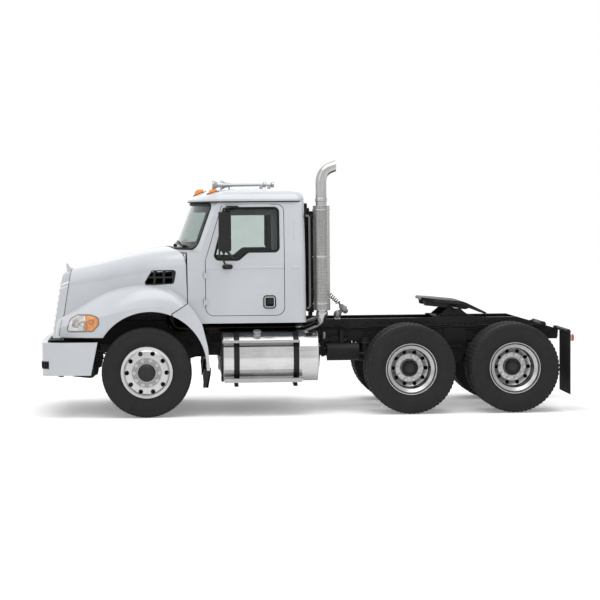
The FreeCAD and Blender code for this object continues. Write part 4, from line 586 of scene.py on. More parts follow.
for nodeName, node in cadNodes.items():
    if nodeName.startswith("tyre"):
        chosen = "tyre"
    elif nodeName.startswith("wheel"):
        chosen = "driveWheel" if "drive" in nodeName else "alloy"
    else:
        chosen = nodeFinish.get(nodeName, "iron")
    node.data.materials.clear()
    node.data.materials.append(finish[chosen])
print("finishes made:", len(finish))


# Camera, light and floor

cameraSettings = {
    "place": (0.38591 - noseShift, -25.1341, 2.40196),
    "angles": (-0.00879, 0.04383, 0.05844),  # roll, pitch and yaw
    "pixels": 600.0, "focalPixels": 2065.577, "sensor": 36.0,
}


def placeCamera():
    look = cameraSettings
    lean, tip, turn = (Matrix.Rotation(angle, 3, axis) for angle, axis in zip(look["angles"], "YXZ"))
    right, forward, up = (lean @ tip @ turn).row
    data = bpy.data.cameras.new("camera")
    data.sensor_width = look["sensor"]
    data.lens = look["focalPixels"] * look["sensor"] / look["pixels"]
    data.clip_end = 200.0
    camera = addObject("camera", data)
    axes = Matrix((right, up, -forward)).transposed().to_4x4()
    camera.matrix_world = Matrix.Translation(look["place"]) @ axes
    bpy.context.scene.camera = camera


lightSettings = {
    # name: place, target, size, power, colour
    "overhead": ((-0.5, -2.5, 8.5), (0.2, 0.0, 1.0), (9.0, 7.0), 430.0, (1.0, 1.0, 1.0)),
    "frontKey": ((-7.5, -8.0, 5.5), (-1.0, 0.0, 1.2), (5.0, 4.0), 60.0, (1.0, 0.995, 0.985)),
    "sideFill": ((3.5, -11.0, 3.6), (0.6, 0.0, 1.0), (7.0, 4.0), 12.0, (0.985, 0.99, 1.0)),
    "farFill": ((0.0, 9.0, 5.0), (0.0, 0.0, 1.2), (8.0, 4.0), 40.0, (0.98, 0.99, 1.0)),
}


def placeLights():
    for name, (place, target, size, power, colour) in lightSettings.items():
        data = bpy.data.lights.new(name, "AREA")
        data.shape = "RECTANGLE"
        data.size, data.size_y = size
        data.energy = power
        data.color = colour
        lamp = addObject(name, data)
        lamp.location = place
        aim = Vector(target) - Vector(place)
        lamp.rotation_euler = aim.to_track_quat("-Z", "Y").to_euler()


def placeWorld():
    # white to the camera and in mirrors and glass, a plain level for what it lights
    world = bpy.data.worlds.new("studio")
    bpy.context.scene.world = world
    world.use_nodes = True
    sky = Graph(world.node_tree)
    sky.fill(sky.tree.nodes["Background"], {"Strength": sky.seenDirectly(0.86, 1.0), "Color": (1.0, 1.0, 1.0)})


def layFloor():
    # plain pale floor that fades into the background and keeps the shadow under the wheels
    span, low = 60.0, -0.002
    mesh = bpy.data.meshes.new("floor")
    mesh.from_pydata([(-span, -span, low), (span, -span, low), (span, span, low), (-span, span, low)], [],
                     [(0, 1, 2, 3)])
    white = Coat("floorWhite")
    colour = white.ramp(white.noise(0.7, 2.0), (0.3, (0.955, 0.955, 0.955)), (0.7, (0.975, 0.975, 0.975)))
    mesh.materials.append(white.done(colour, 0.9, Specular_IOR_Level=0.1, Emission_Color=(1.0, 1.0, 1.0),
                                     Emission_Strength=white.seenDirectly(0.0, 0.2)))
    addObject("floor", mesh)


placeCamera()
placeLights()
placeWorld()
layFloor()
bpy.context.scene.view_settings.view_transform = "Standard"
print("camera, light and floor placed")


# Repeated small pieces by geometry nodes, made plain meshes at once

class Maker(Graph):
    # one geometry node tree with named inputs; add() makes a node and gives its first output
    def __init__(self, name, inputs):
        super().__init__(bpy.data.node_groups.new(name + "Nodes", "GeometryNodeTree"))
        self.name, self.values = name, inputs
        face = self.tree.interface
        for label, value in inputs.items():
            kind = {int: "NodeSocketInt", float: "NodeSocketFloat"}.get(type(value), "NodeSocketVector")
            face.new_socket(label, in_out="INPUT", socket_type=kind)
        face.new_socket("Geometry", in_out="OUTPUT", socket_type="NodeSocketGeometry")
        self.value = self.tree.nodes.new("NodeGroupInput").outputs
        self.output = self.tree.nodes.new("NodeGroupOutput")

    def add(self, kind, **inputs):
        node = self.tree.nodes.new("GeometryNode" + kind)
        self.fill(node, {label.replace("_", " "): value for label, value in inputs.items()})
        return node.outputs[0]

    def cone(self, sides, top, bottom, depth):
        return self.add("MeshCone", Vertices=sides, Radius_Top=top, Radius_Bottom=bottom, Depth=depth)

    def join(self, *sockets):
        node = self.tree.nodes.new("GeometryNodeJoinGeometry")
        for socket in sockets:
            self.tree.links.new(socket, node.inputs["Geometry"])
        return node.outputs[0]

    def bolt(self, radius, depth, studRadius, studDepth):
        # hexagon head with a domed washer below and a stud end above
        head = self.cone(6, radius * 0.86, radius, depth)
        washer = self.cone(12, radius * 1.12, radius * 1.3, depth * 0.2)
        stud = self.cone(8, studRadius * 0.75, studRadius, studDepth)
        return self.join(head, washer, self.add("Transform", Geometry=stud, Translation=(0.0, 0.0, depth)))

    def build(self, geometry, look, body, place, turn=Matrix()):
        real = self.add("RealizeInstances", Geometry=geometry)
        coat = self.add("SetMaterial", Geometry=real, Material=finish[look])
        self.tree.links.new(coat, self.output.inputs["Geometry"])
        seed = bpy.data.meshes.new(self.name + "Seed")
        carrier = addObject(self.name + "Carrier", seed)
        modifier = carrier.modifiers.new("maker", "NODES")
        modifier.node_group = self.tree
        for item in self.tree.interface.items_tree:
            if item.in_out == "INPUT":
                modifier[item.identifier] = self.values[item.name]
        mesh = evaluatedMesh(carrier)
        mesh.name = self.name
        bpy.data.objects.remove(carrier)
        bpy.data.meshes.remove(seed)
        bpy.data.node_groups.remove(self.tree)
        mesh.transform(turn)
        mesh.transform(Matrix.Translation(place))
        return finishMesh(self.name, mesh, look, body, smooth=False)


def sideTurn(side):
    # carries a pattern drawn about +Z to face outward on one side of the truck
    return Matrix.Rotation(radians(-90 * side), 4, "X")


def addNutRing(name, body, side, place, circle, count, radius, depth, look):
    maker = Maker(name, {"Count": count, "Circle": circle})
    ring = maker.add("MeshCircle", Vertices=maker.value["Count"], Radius=maker.value["Circle"])
    nut = maker.bolt(radius, depth, radius * 0.5, depth * 0.6)
    maker.build(maker.add("InstanceOnPoints", Points=ring, Instance=nut), look, body, place, sideTurn(side))


def addBoltRow(name, side, start, step, count, radius=0.013, depth=0.01):
    maker = Maker(name, {"Count": count, "Step": step})
    line = maker.add("MeshLine", Count=maker.value["Count"], Offset=maker.value["Step"])
    head = maker.bolt(radius, depth, radius * 0.45, depth * 0.5)
    aimed = maker.add("Transform", Geometry=head, Rotation=(-pi / 2 * side, 0.0, 0.0))
    maker.build(maker.add("InstanceOnPoints", Points=line, Instance=aimed), "chassis", "root", start)


# Tyres: the CAD profile with softer flanks, grooves, and sipes cut round each shoulder

tyreSettings = {
    "radius": 0.525, "half": 0.138, "bead": 0.2885, "seat": 0.0925, "grooveHalf": 0.0055, "grooveDepth": 0.012,
    "driveGrooves": (0.0, 0.056), "steerGrooves": (0.026, 0.074), "driveCut": 0.8, "steerCut": 0.15,
    "lugs": 64, "sipeDepth": 0.0075, "crown": 0.51, "shoulder": (0.1, 0.487),
}
wheelSettings = {
    "frontMiddle": 1.066, "dualMiddle": 1.082, "dualSpacing": 0.343, "drive": (3.085, 4.305),
    # rings: which wheels, distance out, circle, count, radius, depth, look
    "rings": {
        "frontNuts": ("front", 1.192, 0.143, 10, 0.0205, 0.024, "alloy"),
        "rearNuts": ("drive", 0.943, 0.143, 10, 0.0205, 0.024, "alloy"),
        "axleBolts": ("drive", 1.039, 0.066, 8, 0.01, 0.011, "iron"),
    },
    # turned parts: which wheels, distance out, look, steps, smooth shading, profile of (along, radius)
    "turned": {
        "frontHubCap": ("front", 1.192, "cap", 40, True, (
            (0.01, 0.1), (0.016, 0.104), (0.03, 0.103), (0.05, 0.094), (0.056, 0.082), (0.058, 0.076),
            (0.066, 0.0755), (0.0665, 0.07), (0.0635, 0.06), (0.065, 0.02), (0.0655, 0.0))),
        # a dark ring under the nuts, partly painted shade round them
        "frontFlange": ("front", 1.192, "steelFlange", 60, False, (
            (0.0005, 0.172), (0.0045, 0.17), (0.005, 0.118), (0.0005, 0.116))),
        "axleCap": ("drive", 1.048, "cap", 36, True, (
            (-0.002, 0.064), (0.003, 0.063), (0.0045, 0.05), (0.01, 0.044), (0.013, 0.03), (0.014, 0.0))),
        "rearHub": ("drive", 0.0, "cap", 56, True, (
            (0.9445, 0.104), (0.9475, 0.1085), (0.9565, 0.1075), (0.9605, 0.1005), (0.996, 0.0995),
            (1.003, 0.0965), (1.0035, 0.087), (1.01, 0.085), (1.036, 0.0785), (1.0445, 0.0735),
            (1.0486, 0.066), (1.0486, 0.0))),
    },
    "valve": {"front": 1.122, "drive": 1.072}, "valveReach": 0.268, "valveAngle": 0.6,
}
frontEnds = [("front_" + hand, 0.0, side) for side, hand in hands]
driveEnds = [("drive_%d_%s" % (number, hand), station, side)
             for number, station in enumerate(wheelSettings["drive"], 1) for side, hand in hands]


def tyreProfile(grooves):
    # right half of the section from the bead, up the flank and over the tread, then its mirror image
    look = tyreSettings
    top, wide, deep, seat, bead = (look[key] for key in ("radius", "grooveHalf", "grooveDepth", "seat", "bead"))
    right = [(seat, bead), (seat + 0.006, bead + 0.016), (0.104, 0.318), (0.12, 0.338), (0.1325, 0.362),
             (0.1372, 0.386), (look["half"], 0.402), (0.1372, 0.43), (0.135, 0.452), (0.1328, 0.457),
             (0.1328, 0.463), (0.1345, 0.468), (0.133, 0.487), (0.127, 0.505), (0.118, 0.516),
             (0.108, top - 0.0025)]
    for middle in sorted(grooves, reverse=True):
        right += [(middle + wide, top - 0.0008), (middle + wide * 0.7, top - deep)]
        if middle > 0:
            right += [(middle - wide * 0.7, top - deep), (middle - wide, top - 0.0008)]
    return right + [(-across, radius) for across, radius in reversed(right)]


def addTyres(name, tag, station, middles, kind):
    # middles holds the middle of each tyre of one wheel
    look = tyreSettings
    profile = tyreProfile(look[kind + "Grooves"])
    steps, cut, (edge, rim) = look["lugs"] * 3, look[kind + "Cut"], look["shoulder"]
    treads = Shape()
    for middle in middles:
        verts = []
        for step in range(steps):
            angle = tau * step / steps
            notch = look["sipeDepth"] if step % 3 == 0 else 0.0
            for across, radius in profile:
                if radius >= rim and abs(across) > edge:
                    sunk = notch
                else:
                    sunk = notch * cut if radius > look["crown"] else 0.0
                reach = radius - sunk
                verts.append(spot(station + reach * sin(angle), middle + across * (1 - sunk * 2),
                                  axleHeight + reach * cos(angle)))
        treads.add(verts, rowFaces(steps, len(profile), loop=True))
    treads.make(name + "Tread", "tyre", "wheel_" + tag, replaced=[name])


for tag, station, side in frontEnds:
    addTyres("tyre_" + tag, tag, station, [side * wheelSettings["frontMiddle"]], "steer")
for tag, station, side in driveEnds:
    outer = wheelSettings["dualMiddle"]
    addTyres("tyres_" + tag, tag, station, [side * outer, side * (outer - wheelSettings["dualSpacing"])], "drive")
print("tyres made")


# Wheel nuts, hub caps, rear hubs and valve stems

def wheelDetails():
    look = wheelSettings
    angle, reach = look["valveAngle"], look["valveReach"]
    for tag, station, side in frontEnds + driveEnds:
        kind, body = tag.split("_")[0], "wheel_" + tag
        for name, (where, out, *values) in look["rings"].items():
            if where == kind:
                addNutRing(tag.replace(kind, name), body, side, spot(station, side * out, axleHeight), *values)
        for name, (where, out, coat, steps, smooth, profile) in look["turned"].items():
            if where == kind:
                part = Shape().turn(profile, spot(station, side * out, axleHeight), (0, side, 0), steps)
                part.make(tag.replace(kind, name), coat, body, smooth)
        foot = spot(station + reach * sin(angle), side * look["valve"][kind], axleHeight + reach * cos(angle))
        tip = foot + Vector((-0.01 * sin(angle), side * 0.05, -0.01 * cos(angle)))
        stem = Shape().sweep([foot, (foot + tip) / 2 + Vector((0, side * 0.004, 0)), tip], 0.0042, 8)
        stem.make("valveStem_" + tag, "chrome", body)


wheelDetails()
print("wheel details made")


# Fuel tanks: dark front cap ring, filler cap, strap seams and clamps

tankSettings = {
    "radius": 0.29, "front": 0.843, "rear": 2.03, "side": 0.92, "height": 0.68, "bulge": 0.038,
    "straps": (1.046, 1.74), "clampAngles": (1.25, 0.55), "neck": (1.29, 0.15, 0.293), "neckAxis": (0, 40, 78),
}


def tankDetails():
    look = tankSettings
    radius, out, height = look["radius"], look["side"], look["height"]
    ends = [spot(station, out, height) for station in (look["front"] + look["bulge"], look["rear"] - look["bulge"])]
    rim, seams, caps, clamps = Shape(), Shape(), Shape(), Shape()
    rim.turn([(0.012, radius + 0.0015), (0.0, radius + 0.004), (-0.01, radius + 0.001), (-0.014, radius - 0.02),
              (-0.005, radius - 0.024)], ends[0], (1, 0, 0), 72)
    for end in ends:
        seams.turn([(-0.007, radius + 0.0002), (-0.004, radius + 0.0024), (0.004, radius + 0.0024),
                    (0.007, radius + 0.0002)], end, (1, 0, 0), 72)
    axis = Vector(look["neckAxis"]).normalized()
    station, beside, above = look["neck"]
    neck = spot(station, out + beside, height + above)
    caps.turn([(0.0005, 0.0475), (0.01, 0.049), (0.013, 0.046), (0.015, 0.03), (0.0155, 0.0)], neck, axis, 32)
    caps.studs(neck, axis, axis.orthogonal().normalized(), 12, 0.0475, 0.001, 0.011, 0.0045)
    reach = radius + 0.0105
    for station in look["straps"]:
        for angle in look["clampAngles"]:
            middle = spot(station, out + reach * sin(angle), height + reach * cos(angle))
            clamps.block(middle - Vector((0.03, 0.012, 0.008)), middle + Vector((0.03, 0.004, 0.008)))
            clamps.sweep([middle + Vector((-0.018, 0.002, 0)), middle + Vector((0.018, 0.002, 0))], 0.005, 8)
    rim.both().make("tankFrontRims", "gasket")
    seams.both().make("tankSeams", "alloy")
    caps.both().make("fillerCaps", "steelFlange", smooth=False)
    clamps.both().make("strapClamps", "chassis", smooth=False)


# Steps: raised lozenges on the tread plates and serrated plates along their edges

stepSettings = {
    # treads: front, rear, height, depth, height of the edge plate
    "treads": {"upper": (0.881, 1.787, 0.885, 0.09, 0.02), "lower": (0.899, 1.81, 0.44, 0.12, 0.044)},
    "outer": 1.225, "pitch": 0.02, "lozenge": (0.0085, 0.0032, 0.0016), "seed": 3,
}


def addTread(name, low, long, place, turn=Matrix()):
    # lozenges over a flat face of the given size, every other one turned the other way
    look = stepSettings
    maker = Maker(name, {"Columns": max(2, int(long / look["pitch"])), "Rows": max(2, int(low / look["pitch"])),
                         "Seed": look["seed"]})
    grid = maker.add("MeshGrid", Size_X=long, Size_Y=low, Vertices_X=maker.value["Columns"],
                     Vertices_Y=maker.value["Rows"])
    length, wide, tall = look["lozenge"]
    lozenge = maker.add("Transform", Geometry=maker.cone(4, wide * 0.6, wide, tall),
                        Scale=(length / wide, 1.0, 1.0))
    odd = maker.math("MODULO", maker.add("InputIndex"), 2.0)
    spin = maker.node("CombineXYZ", {"Z": maker.math("MULTIPLY_ADD", odd, pi / 2, -pi / 4)})
    placed = maker.add("InstanceOnPoints", Points=grid, Instance=lozenge, Rotation=spin)
    maker.build(placed, "tread", "root", place, turn)


def stepDetails():
    look = stepSettings
    out = look["outer"]
    plates = Shape()
    for label, (front, rear, height, depth, tall) in look["treads"].items():
        long, middle = rear - front - 0.02, (front + rear) / 2
        count = int((rear - front) / look["pitch"])
        outline = [(front, height - tall)]
        for tooth in range(count):
            start = front + (rear - front) * tooth / count
            outline += [(start, height), (start + 0.006, height + 0.006), (start + 0.014, height + 0.006)]
        outline += [(rear, height), (rear - 0.012, height - tall)]
        for side, hand in hands:
            plates.prism([spot(x, side * out, z) for x, z in outline], (0, side * 0.003, 0))
            top, edge = side * (out - depth / 2), side * (out + 0.0006)
            addTread("%sStepTop_%s" % (label, hand), depth - 0.016, long, spot(middle, top, height + 0.0006))
            addTread("%sStepEdge_%s" % (label, hand), 0.012, long, spot(middle, edge, height - 0.013), sideTurn(side))
    plates.make("stepTeeth", "tread", smooth=False)


# Frame: rail bolts, brake chambers and air lines that clutter the chassis

frameSettings = {
    # bolt rows: station, height, count, gap, distance off the rail
    "rows": {"upperRow": (2.06, 1.045, 16, 0.145, 0.0005), "lowerRow": (2.6, 0.868, 13, 0.15, 0.0005),
             "angleRow": (3.48, 1.02, 7, 0.07, 0.0143)},
    "crossBolts": ((2.56, 4), (3.56, 4), (3.89, 4), (4.815, 2)), "rail": 0.43,
    "chamber": ((-0.03, 0.0), (-0.03, 0.052), (-0.008, 0.08), (0.028, 0.082), (0.034, 0.08), (0.07, 0.08),
                (0.105, 0.066), (0.112, 0.04), (0.113, 0.0)),
    "band": ((0.022, 0.083), (0.024, 0.088), (0.038, 0.088), (0.04, 0.083)),
    # air lines: side, distance out, height, radius
    "lines": ((-1, 0.4385, 0.985, 0.01), (-1, 0.4375, 0.96, 0.0075), (1, 0.4385, 0.985, 0.01),
              (1, 0.4375, 0.94, 0.0075)),
}


def frameDetails():
    look = frameSettings
    for side, hand in hands:
        for label, (station, height, count, gap, off) in look["rows"].items():
            start = spot(station, side * (look["rail"] + off), height)
            addBoltRow("%s_%s" % (label, hand), side, start, (gap, 0, 0), count)
        for station, count in look["crossBolts"]:
            start = spot(station + 0.045, side * (look["rail"] + 0.0005), 0.865)
            addBoltRow("crossBolts_%d_%s" % (station * 1000, hand), side, start, (0, 0, 0.045), count, 0.011, 0.009)


def brakeChambers():
    # round spring brakes behind each drive axle, with their push rods
    shell, bands = Shape(), Shape()
    for _, station, side in driveEnds:
        centre = spot(station - 0.235, side * 0.34, 0.655)
        shell.turn(frameSettings["chamber"], centre, (-1, 0, 0), 28)
        bands.turn(frameSettings["band"], centre, (-1, 0, 0), 28)
        shell.sweep([centre + Vector((0.03, 0, 0)), centre + Vector((0.16, 0, -0.035))], 0.011, 8)
    shell.make("brakeChambers", "iron")
    bands.make("brakeBands", "steelFlange")


def airLines():
    # nylon lines and a harness clipped along the left and right rails
    lines, clips = Shape(), Shape()
    for side, out, height, radius in frameSettings["lines"]:
        path = []
        for step in range(49):
            sag = 0.006 * sin(step * 1.7) + 0.01 * sin(step * 0.55)
            path.append(spot(2.02 + step * 0.058, side * (out + 0.004), height + sag))
        lines.sweep(path, radius, 8)
    for side in (-1, 1):
        for step in range(9):
            middle, half = spot(2.1 + step * 0.31, side * 0.446, 0.972), Vector((0.008, 0.013, 0.03))
            clips.block(middle - half, middle + half)
    lines.make("railLines", "gasket")
    clips.make("lineClips", "chassis", smooth=False, bevel=0.002)


tankDetails()
stepDetails()
frameDetails()
brakeChambers()
airLines()
print("tanks, steps and frame details made")


# Cab: rubber round the glass, door handles, mirrors, wipers, grab rails and pressed marks

cabSettings = {
    "window": ((0.8, 1.832), (1.076, 1.826), (1.192, 1.921), (1.546, 1.921), (1.546, 2.418), (0.952, 2.418)),
    "windowRadii": (0.044, 0.06, 0.06, 0.044, 0.044, 0.044),
    "windshield": ((-0.935, 1.962), (0.935, 1.962), (0.868, 2.462), (-0.868, 2.462)),
    "windshieldRadii": (0.07, 0.07, 0.06, 0.06), "rearWindow": (-0.43, 1.95, 0.43, 2.33),
    "handle": (1.38, 1.262, 1.5, 1.388), "handleRadius": 0.024,
    "wiperPivots": (-0.62, 0.12), "wiperReach": 0.5, "armLine": (1.97, 0.055), "bladeLine": (1.972, 0.06),
    "belt": 1.728, "roofSeamShade": 2.5085,
    "grabRail": (1.918, 0.955, 1.24, 2.33),
    "mirror": (0.9852, 1.246, 1.352), "mirrorGlass": ((1.945, 2.075), (2.09, 2.362)),
    "mirrorClamps": (1.921, 2.384), "quarterMark": (1.735, 2.045),
}


def glassRubber():
    look = cabSettings
    loop, inner = (edgeLoop(look["window"], look["windowRadii"], gap) for gap in (0.009, -0.004))
    sideStrips("windowRubber_@", "gasket", "door_@", "door_@", loop, 0.019, 0.0045)
    for side, hand in hands:
        outer = sideLoop(surfaceOf("door_" + hand), loop, side, -0.012)
        path = [(point + Vector((q.x - p.x, 0, q.y - p.y)), normal)
                for (point, normal), p, q in zip(outer, loop, inner)]
        Shape().strip(path, 0.01, 0.003).make("windowLip_" + hand, "gasket", "door_" + hand)
    tree = surfaceOf("cab_shell")
    for name, corners, radii, gap, step, reach, width in (
            ("windshieldRubber", look["windshield"], look["windshieldRadii"], 0.012, 0.03, -3.4, 0.03),
            ("rearWindowRubber", rectangle(*look["rearWindow"]), 0.05, 0.01, 0.04, 0.6, 0.024)):
        path = frontLoop(tree, edgeLoop(corners, radii, gap, step), reach=reach)
        Shape().strip(path, width, 0.006).make(name, "gasket")


def doorHandles():
    x0, z0, x1, z1 = cabSettings["handle"]
    corners, radius = rectangle(x0, z0, x1, z1), cabSettings["handleRadius"]
    plate = roundedLoop(rectangle(x0 + 0.03, z0 + 0.04, x1 - 0.022, z1 - 0.02), 0.01)
    sideStrips("handleFrame_@", "plastic", "door_@", "door_@", edgeLoop(corners, radius, 0.004, 0.01),
               0.023, 0.0105)
    for side, hand in hands:
        pan, paddle = Shape(), Shape()
        loop = grown(roundedLoop(corners, radius), -0.01)
        ring = [point for point, _ in sideLoop(surfaceOf("door_" + hand), loop, side, 0.0012)]
        centre, size = sum(ring, Vector()) / len(ring), len(ring)
        pan.add(ring + [centre], [(i, (i + 1) % size, size) for i in range(size)])
        # the pan is near-black, painted shade inside the handle recess
        pan.make("handlePan_" + hand, "cavityShade", "door_" + hand, smooth=False)
        out = centre.y + side * 0.0012
        paddle.prism([spot(p.x, out, p.y) for p in plate], (0, side * 0.0075, 0))
        paddle.turn([(0.0, 0.011), (0.006, 0.011), (0.0075, 0.009), (0.0078, 0.0)],
                    spot(x0 + 0.028, out, z0 + 0.025), (0, side, 0), 20)
        paddle.make("handlePaddle_" + hand, "plastic", "door_" + hand, smooth=False, bevel=0.0015)


def mirrorDetails():
    # glass set in the rear of each head, its split line, and the clamps on the arms
    look = cabSettings
    plane, near, far = look["mirror"]
    for side, hand in hands:
        glass, trim = Shape(), Shape()
        for low, high in look["mirrorGlass"]:
            loop = roundedLoop(rectangle(near, low, far, high), 0.014)
            glass.prism([spot(plane + 0.0004, side * p.x, p.y) for p in loop], (0.0025, 0, 0))
            edge = [(spot(plane, side * p.x, p.y), Vector((1, 0, 0))) for p in spaced(loop, 0.02)]
            trim.strip(edge, 0.009, 0.005)
        for height in look["mirrorClamps"]:
            trim.turn([(-0.016, 0.0), (-0.016, 0.021), (0.016, 0.021), (0.016, 0.0)],
                      spot(0.905, side * 1.3, height), upright, 20)
        trim.sweep([spot(0.866, side * 1.3625, 1.96), spot(0.862, side * 1.365, 2.15),
                    spot(0.866, side * 1.3625, 2.34)], 0.0022, 6)
        glass.make("mirrorGlass_" + hand, "mirrorGlass", "door_" + hand, smooth=False)
        trim.make("mirrorTrim_" + hand, "plastic", "door_" + hand)


def wipers():
    look = cabSettings
    tree = surfaceOf("cab_shell cab_glass")

    def over(pivot, share, line, lift):
        # the place that far along a blade or arm, lifted off the glass
        return frontLoop(tree, [Vector((pivot + look["wiperReach"] * share, line[0] + line[1] * share))], lift)

    metal, blades = Shape(), Shape()
    for pivot in look["wiperPivots"]:
        places, run = [], []
        for share in (step / 10 for step in range(11)):
            places += over(pivot, share, look["armLine"], 0.03 + 0.012 * sin(pi * share))
        metal.sweep([point for point, _ in places[:8]], [0.009 - 0.0006 * i for i in range(8)], 8, flat=0.6)
        metal.turn([(-0.034, 0.0), (-0.034, 0.019), (0.006, 0.019), (0.012, 0.01), (0.012, 0.0)], *places[0], 20)
        for share in (0.22 + 0.78 * step / 14 for step in range(15)):
            run += over(pivot, share, look["bladeLine"], 0.009)
        blades.strip(run, 0.01, 0.014, closed=False)
    metal.make("wiperArms", "plastic")
    blades.make("wiperBlades", "gasket", smooth=False)


def grabRails():
    # grey tube up each rear corner of the cab, on stand-offs
    rails, feet = Shape(), Shape()
    station, out, low, high = cabSettings["grabRail"]
    inner = [(0.0, low + (high - low) * share) for share in (0.15, 0.4, 0.6, 0.85)]
    route = [(0.05, low), (0.012, low + 0.006), (0.0, low + 0.028), *inner, (0.0, high - 0.028),
             (0.012, high - 0.006), (0.055, high)]
    for side in (1, -1):
        rails.sweep([spot(station - back, side * out, height) for back, height in route], 0.0125, 14)
        for height in (low, high):
            feet.turn([(0.0, 0.024), (0.006, 0.024), (0.008, 0.018), (0.008, 0.0)],
                      spot(station - 0.056, side * out, height), (1, 0, 0), 20)
    rails.make("grabRails", "coil")
    feet.make("grabRailFeet", "chassis")


def pressedLines():
    # soft pressed line along the cab and doors below the windows, and a slot on each rear quarter
    for name, nodes, body, start, end in (("beltLine_door_@", "door_@", "door_@", 0.7, 1.64),
                                          ("beltLine_cab_@", "cab_shell", "root", 1.69, 1.8)):
        run = [Vector((start + (end - start) * i / 30, cabSettings["belt"])) for i in range(31)]
        sideStrips(name, "paint", nodes, body, run, 0.03, 0.0035, closed=False)
    station, low = cabSettings["quarterMark"]
    run = [Vector((station, low + 0.02 * step)) for step in range(13)]
    sideStrips("quarterMark_@", "paint", "cab_shell", "root", run, 0.013, 0.0022, closed=False)


def roofSeamShade():
    # dark joint under the lip of the roof cap, all the way round; the band is partly a real joint and partly painted
    # shade under the lip's overhang
    tree, height = surfaceOf("cab_roof"), cabSettings["roofSeamShade"]
    path = []
    for step in range(160):
        angle = tau * step / 160
        out = Vector((cos(angle), sin(angle), 0))
        for hit, _ in cast(tree, spot(1.2, 0, height) + out * 2.5, -out):
            path.append((Vector((hit.x, hit.y, height - 0.01)) - out * 0.004, out))
    # partly painted shade under the roof cap's lip
    Shape().strip(path, 0.013, 0.0034).make("roofSeamShade", "gasket")


glassRubber()
pressedLines()
roofSeamShade()
doorHandles()
mirrorDetails()
wipers()
grabRails()
print("cab details made")


# Front: grille mesh and seam, lamp bezels, bumper recess, splash panels, and the seal at the hood that darkens the
# gap as painted shade

frontSettings = {
    "foot": (-1.123, 0.895), "lean": 0.1645, "depth": 0.092, "meshDepth": 0.05,
    "opening": (0.42816, 0.93, 1.59), "meshPitch": 0.024, "wire": 0.0016, "bow": 0.05, "taper": 0.13,
    "lamp": ((-0.925, 1.008), (-0.62, 1.012), (-0.548, 1.092), (-0.56, 1.172), (-0.65, 1.198),
             (-0.8, 1.196), (-0.88, 1.15)),
    "lampRadii": (0.024, 0.04, 0.034, 0.04, 0.06, 0.06, 0.04),
    "lampRings": ((-0.82, 1.098, 0.044), (-0.735, 1.092, 0.034), (-0.632, 1.118, 0.03)),
    "vent": ((-0.032, 1.53), (0.322, 1.552), (0.35, 1.704), (0.07, 1.698)), "ventRadius": 0.026,
    "corner": (-1.055, 1.03), "recess": (0.588, 0.664), "recessAngles": (-18, 62),
    "seamSide": ((0.3, 1.198), (0.486, 1.318), (0.476, 2.01)), "seamTop": (0.232, 0.482, 1.038),
    # plates under the bumper: side, thickness across, outline of (station, height)
    "plates": ((0.6, 0.006, ((-1.02, 0.5), (-0.9, 0.49), (-0.66, 0.436), (-0.586, 0.47), (-0.56, 0.6),
                               (-0.59, 0.73), (-0.655, 0.858), (-0.98, 0.858))),
               (0.606, 0.5, ((-0.622, 0.47), (-0.618, 0.6), (-0.632, 0.73), (-0.68, 0.858), (-0.69, 0.858),
                               (-0.642, 0.73), (-0.628, 0.6), (-0.632, 0.47))),
               (1.08, -0.006, ((-0.88, 0.506), (-0.85, 0.484), (-0.65, 0.462), (-0.61, 0.48), (-0.6, 0.506)))),
    "dam": ((-1.085, 0.506), (-1.068, 0.506), (-0.99, 0.486), (-0.962, 0.488), (-0.968, 0.48), (-0.996, 0.477)),
    "fin": (-0.965, -0.945, -0.915, -0.88),
    "finOutline": ((0, 0, -0.002), (0, -0.004, 0.012), (0, -0.012, 0.094), (0, 0.004, 0.106), (1, 0.006, 0.06),
                   (2, 0, 0.026), (3, 0, 0.003), (3, 0, -0.004)),
}


def grilleSpot(side, height, offset):
    look = frontSettings
    return spot(look["foot"][0] + (height - look["foot"][1]) * look["lean"] + offset, side, height)


def grilleMesh():
    # woven screen that bows forward with the bars, over a dark backing that is painted shade behind the grille
    look = frontSettings
    half, low, high = look["opening"]
    top = 1 - look["taper"]
    wires, back = Shape(), Shape()

    def woven(across, height, offset):
        bow = look["bow"] * (1 - (across / half) ** 2)
        return grilleSpot(across, height, look["meshDepth"] + offset - bow)

    rows, columns = round((high - low) / look["meshPitch"]), round(2 * half / look["meshPitch"])
    for row in range(rows + 1):
        height, narrow = low + (high - low) * row / rows, half * (1 - look["taper"] * (row / rows) ** 2.2)
        wires.sweep([woven(narrow * (i / 8 - 1), height, 0.0) for i in range(17)], look["wire"], 4)
    for column in range(columns + 1):
        across = half * top * (2 * column / columns - 1)
        wires.sweep([woven(across, low, 0.003), woven(across, high, 0.003)], look["wire"], 4)
    back.add([woven(half * (column / 8 - 1) * narrow, height, offset) for column in range(17)
              for narrow, height, offset in ((1.0, low, 0.006), (1.0, low, 0.01), (top, high, 0.01),
                                             (top, high, 0.006))], tubeFaces(17, 4))
    wires.make("grilleMesh", "gasket", "hood", smooth=False)
    # the backing is near-black, painted shade behind the mesh
    back.make("grilleScreen", "cavityShade", "hood")


def grilleSeam():
    # dark joint where the bright surround meets the painted nose
    look = frontSettings
    tree = surfaceOf("hood grille")
    centre = grilleSpot(0.0, 1.22, look["depth"] + 0.003)
    up = Vector((look["lean"], 0, 1)).normalized()
    path = []
    for step in range(150):
        angle = radians(-52 + 284 * step / 149)
        out = Vector((0, 1, 0)) * cos(angle) + up * sin(angle)
        path += [(hit, out) for hit, _ in cast(tree, centre + out * 1.6, -out)]
    Shape().strip(path, 0.009, 0.0016, closed=False).make("grilleSeam", "gasket", "hood")


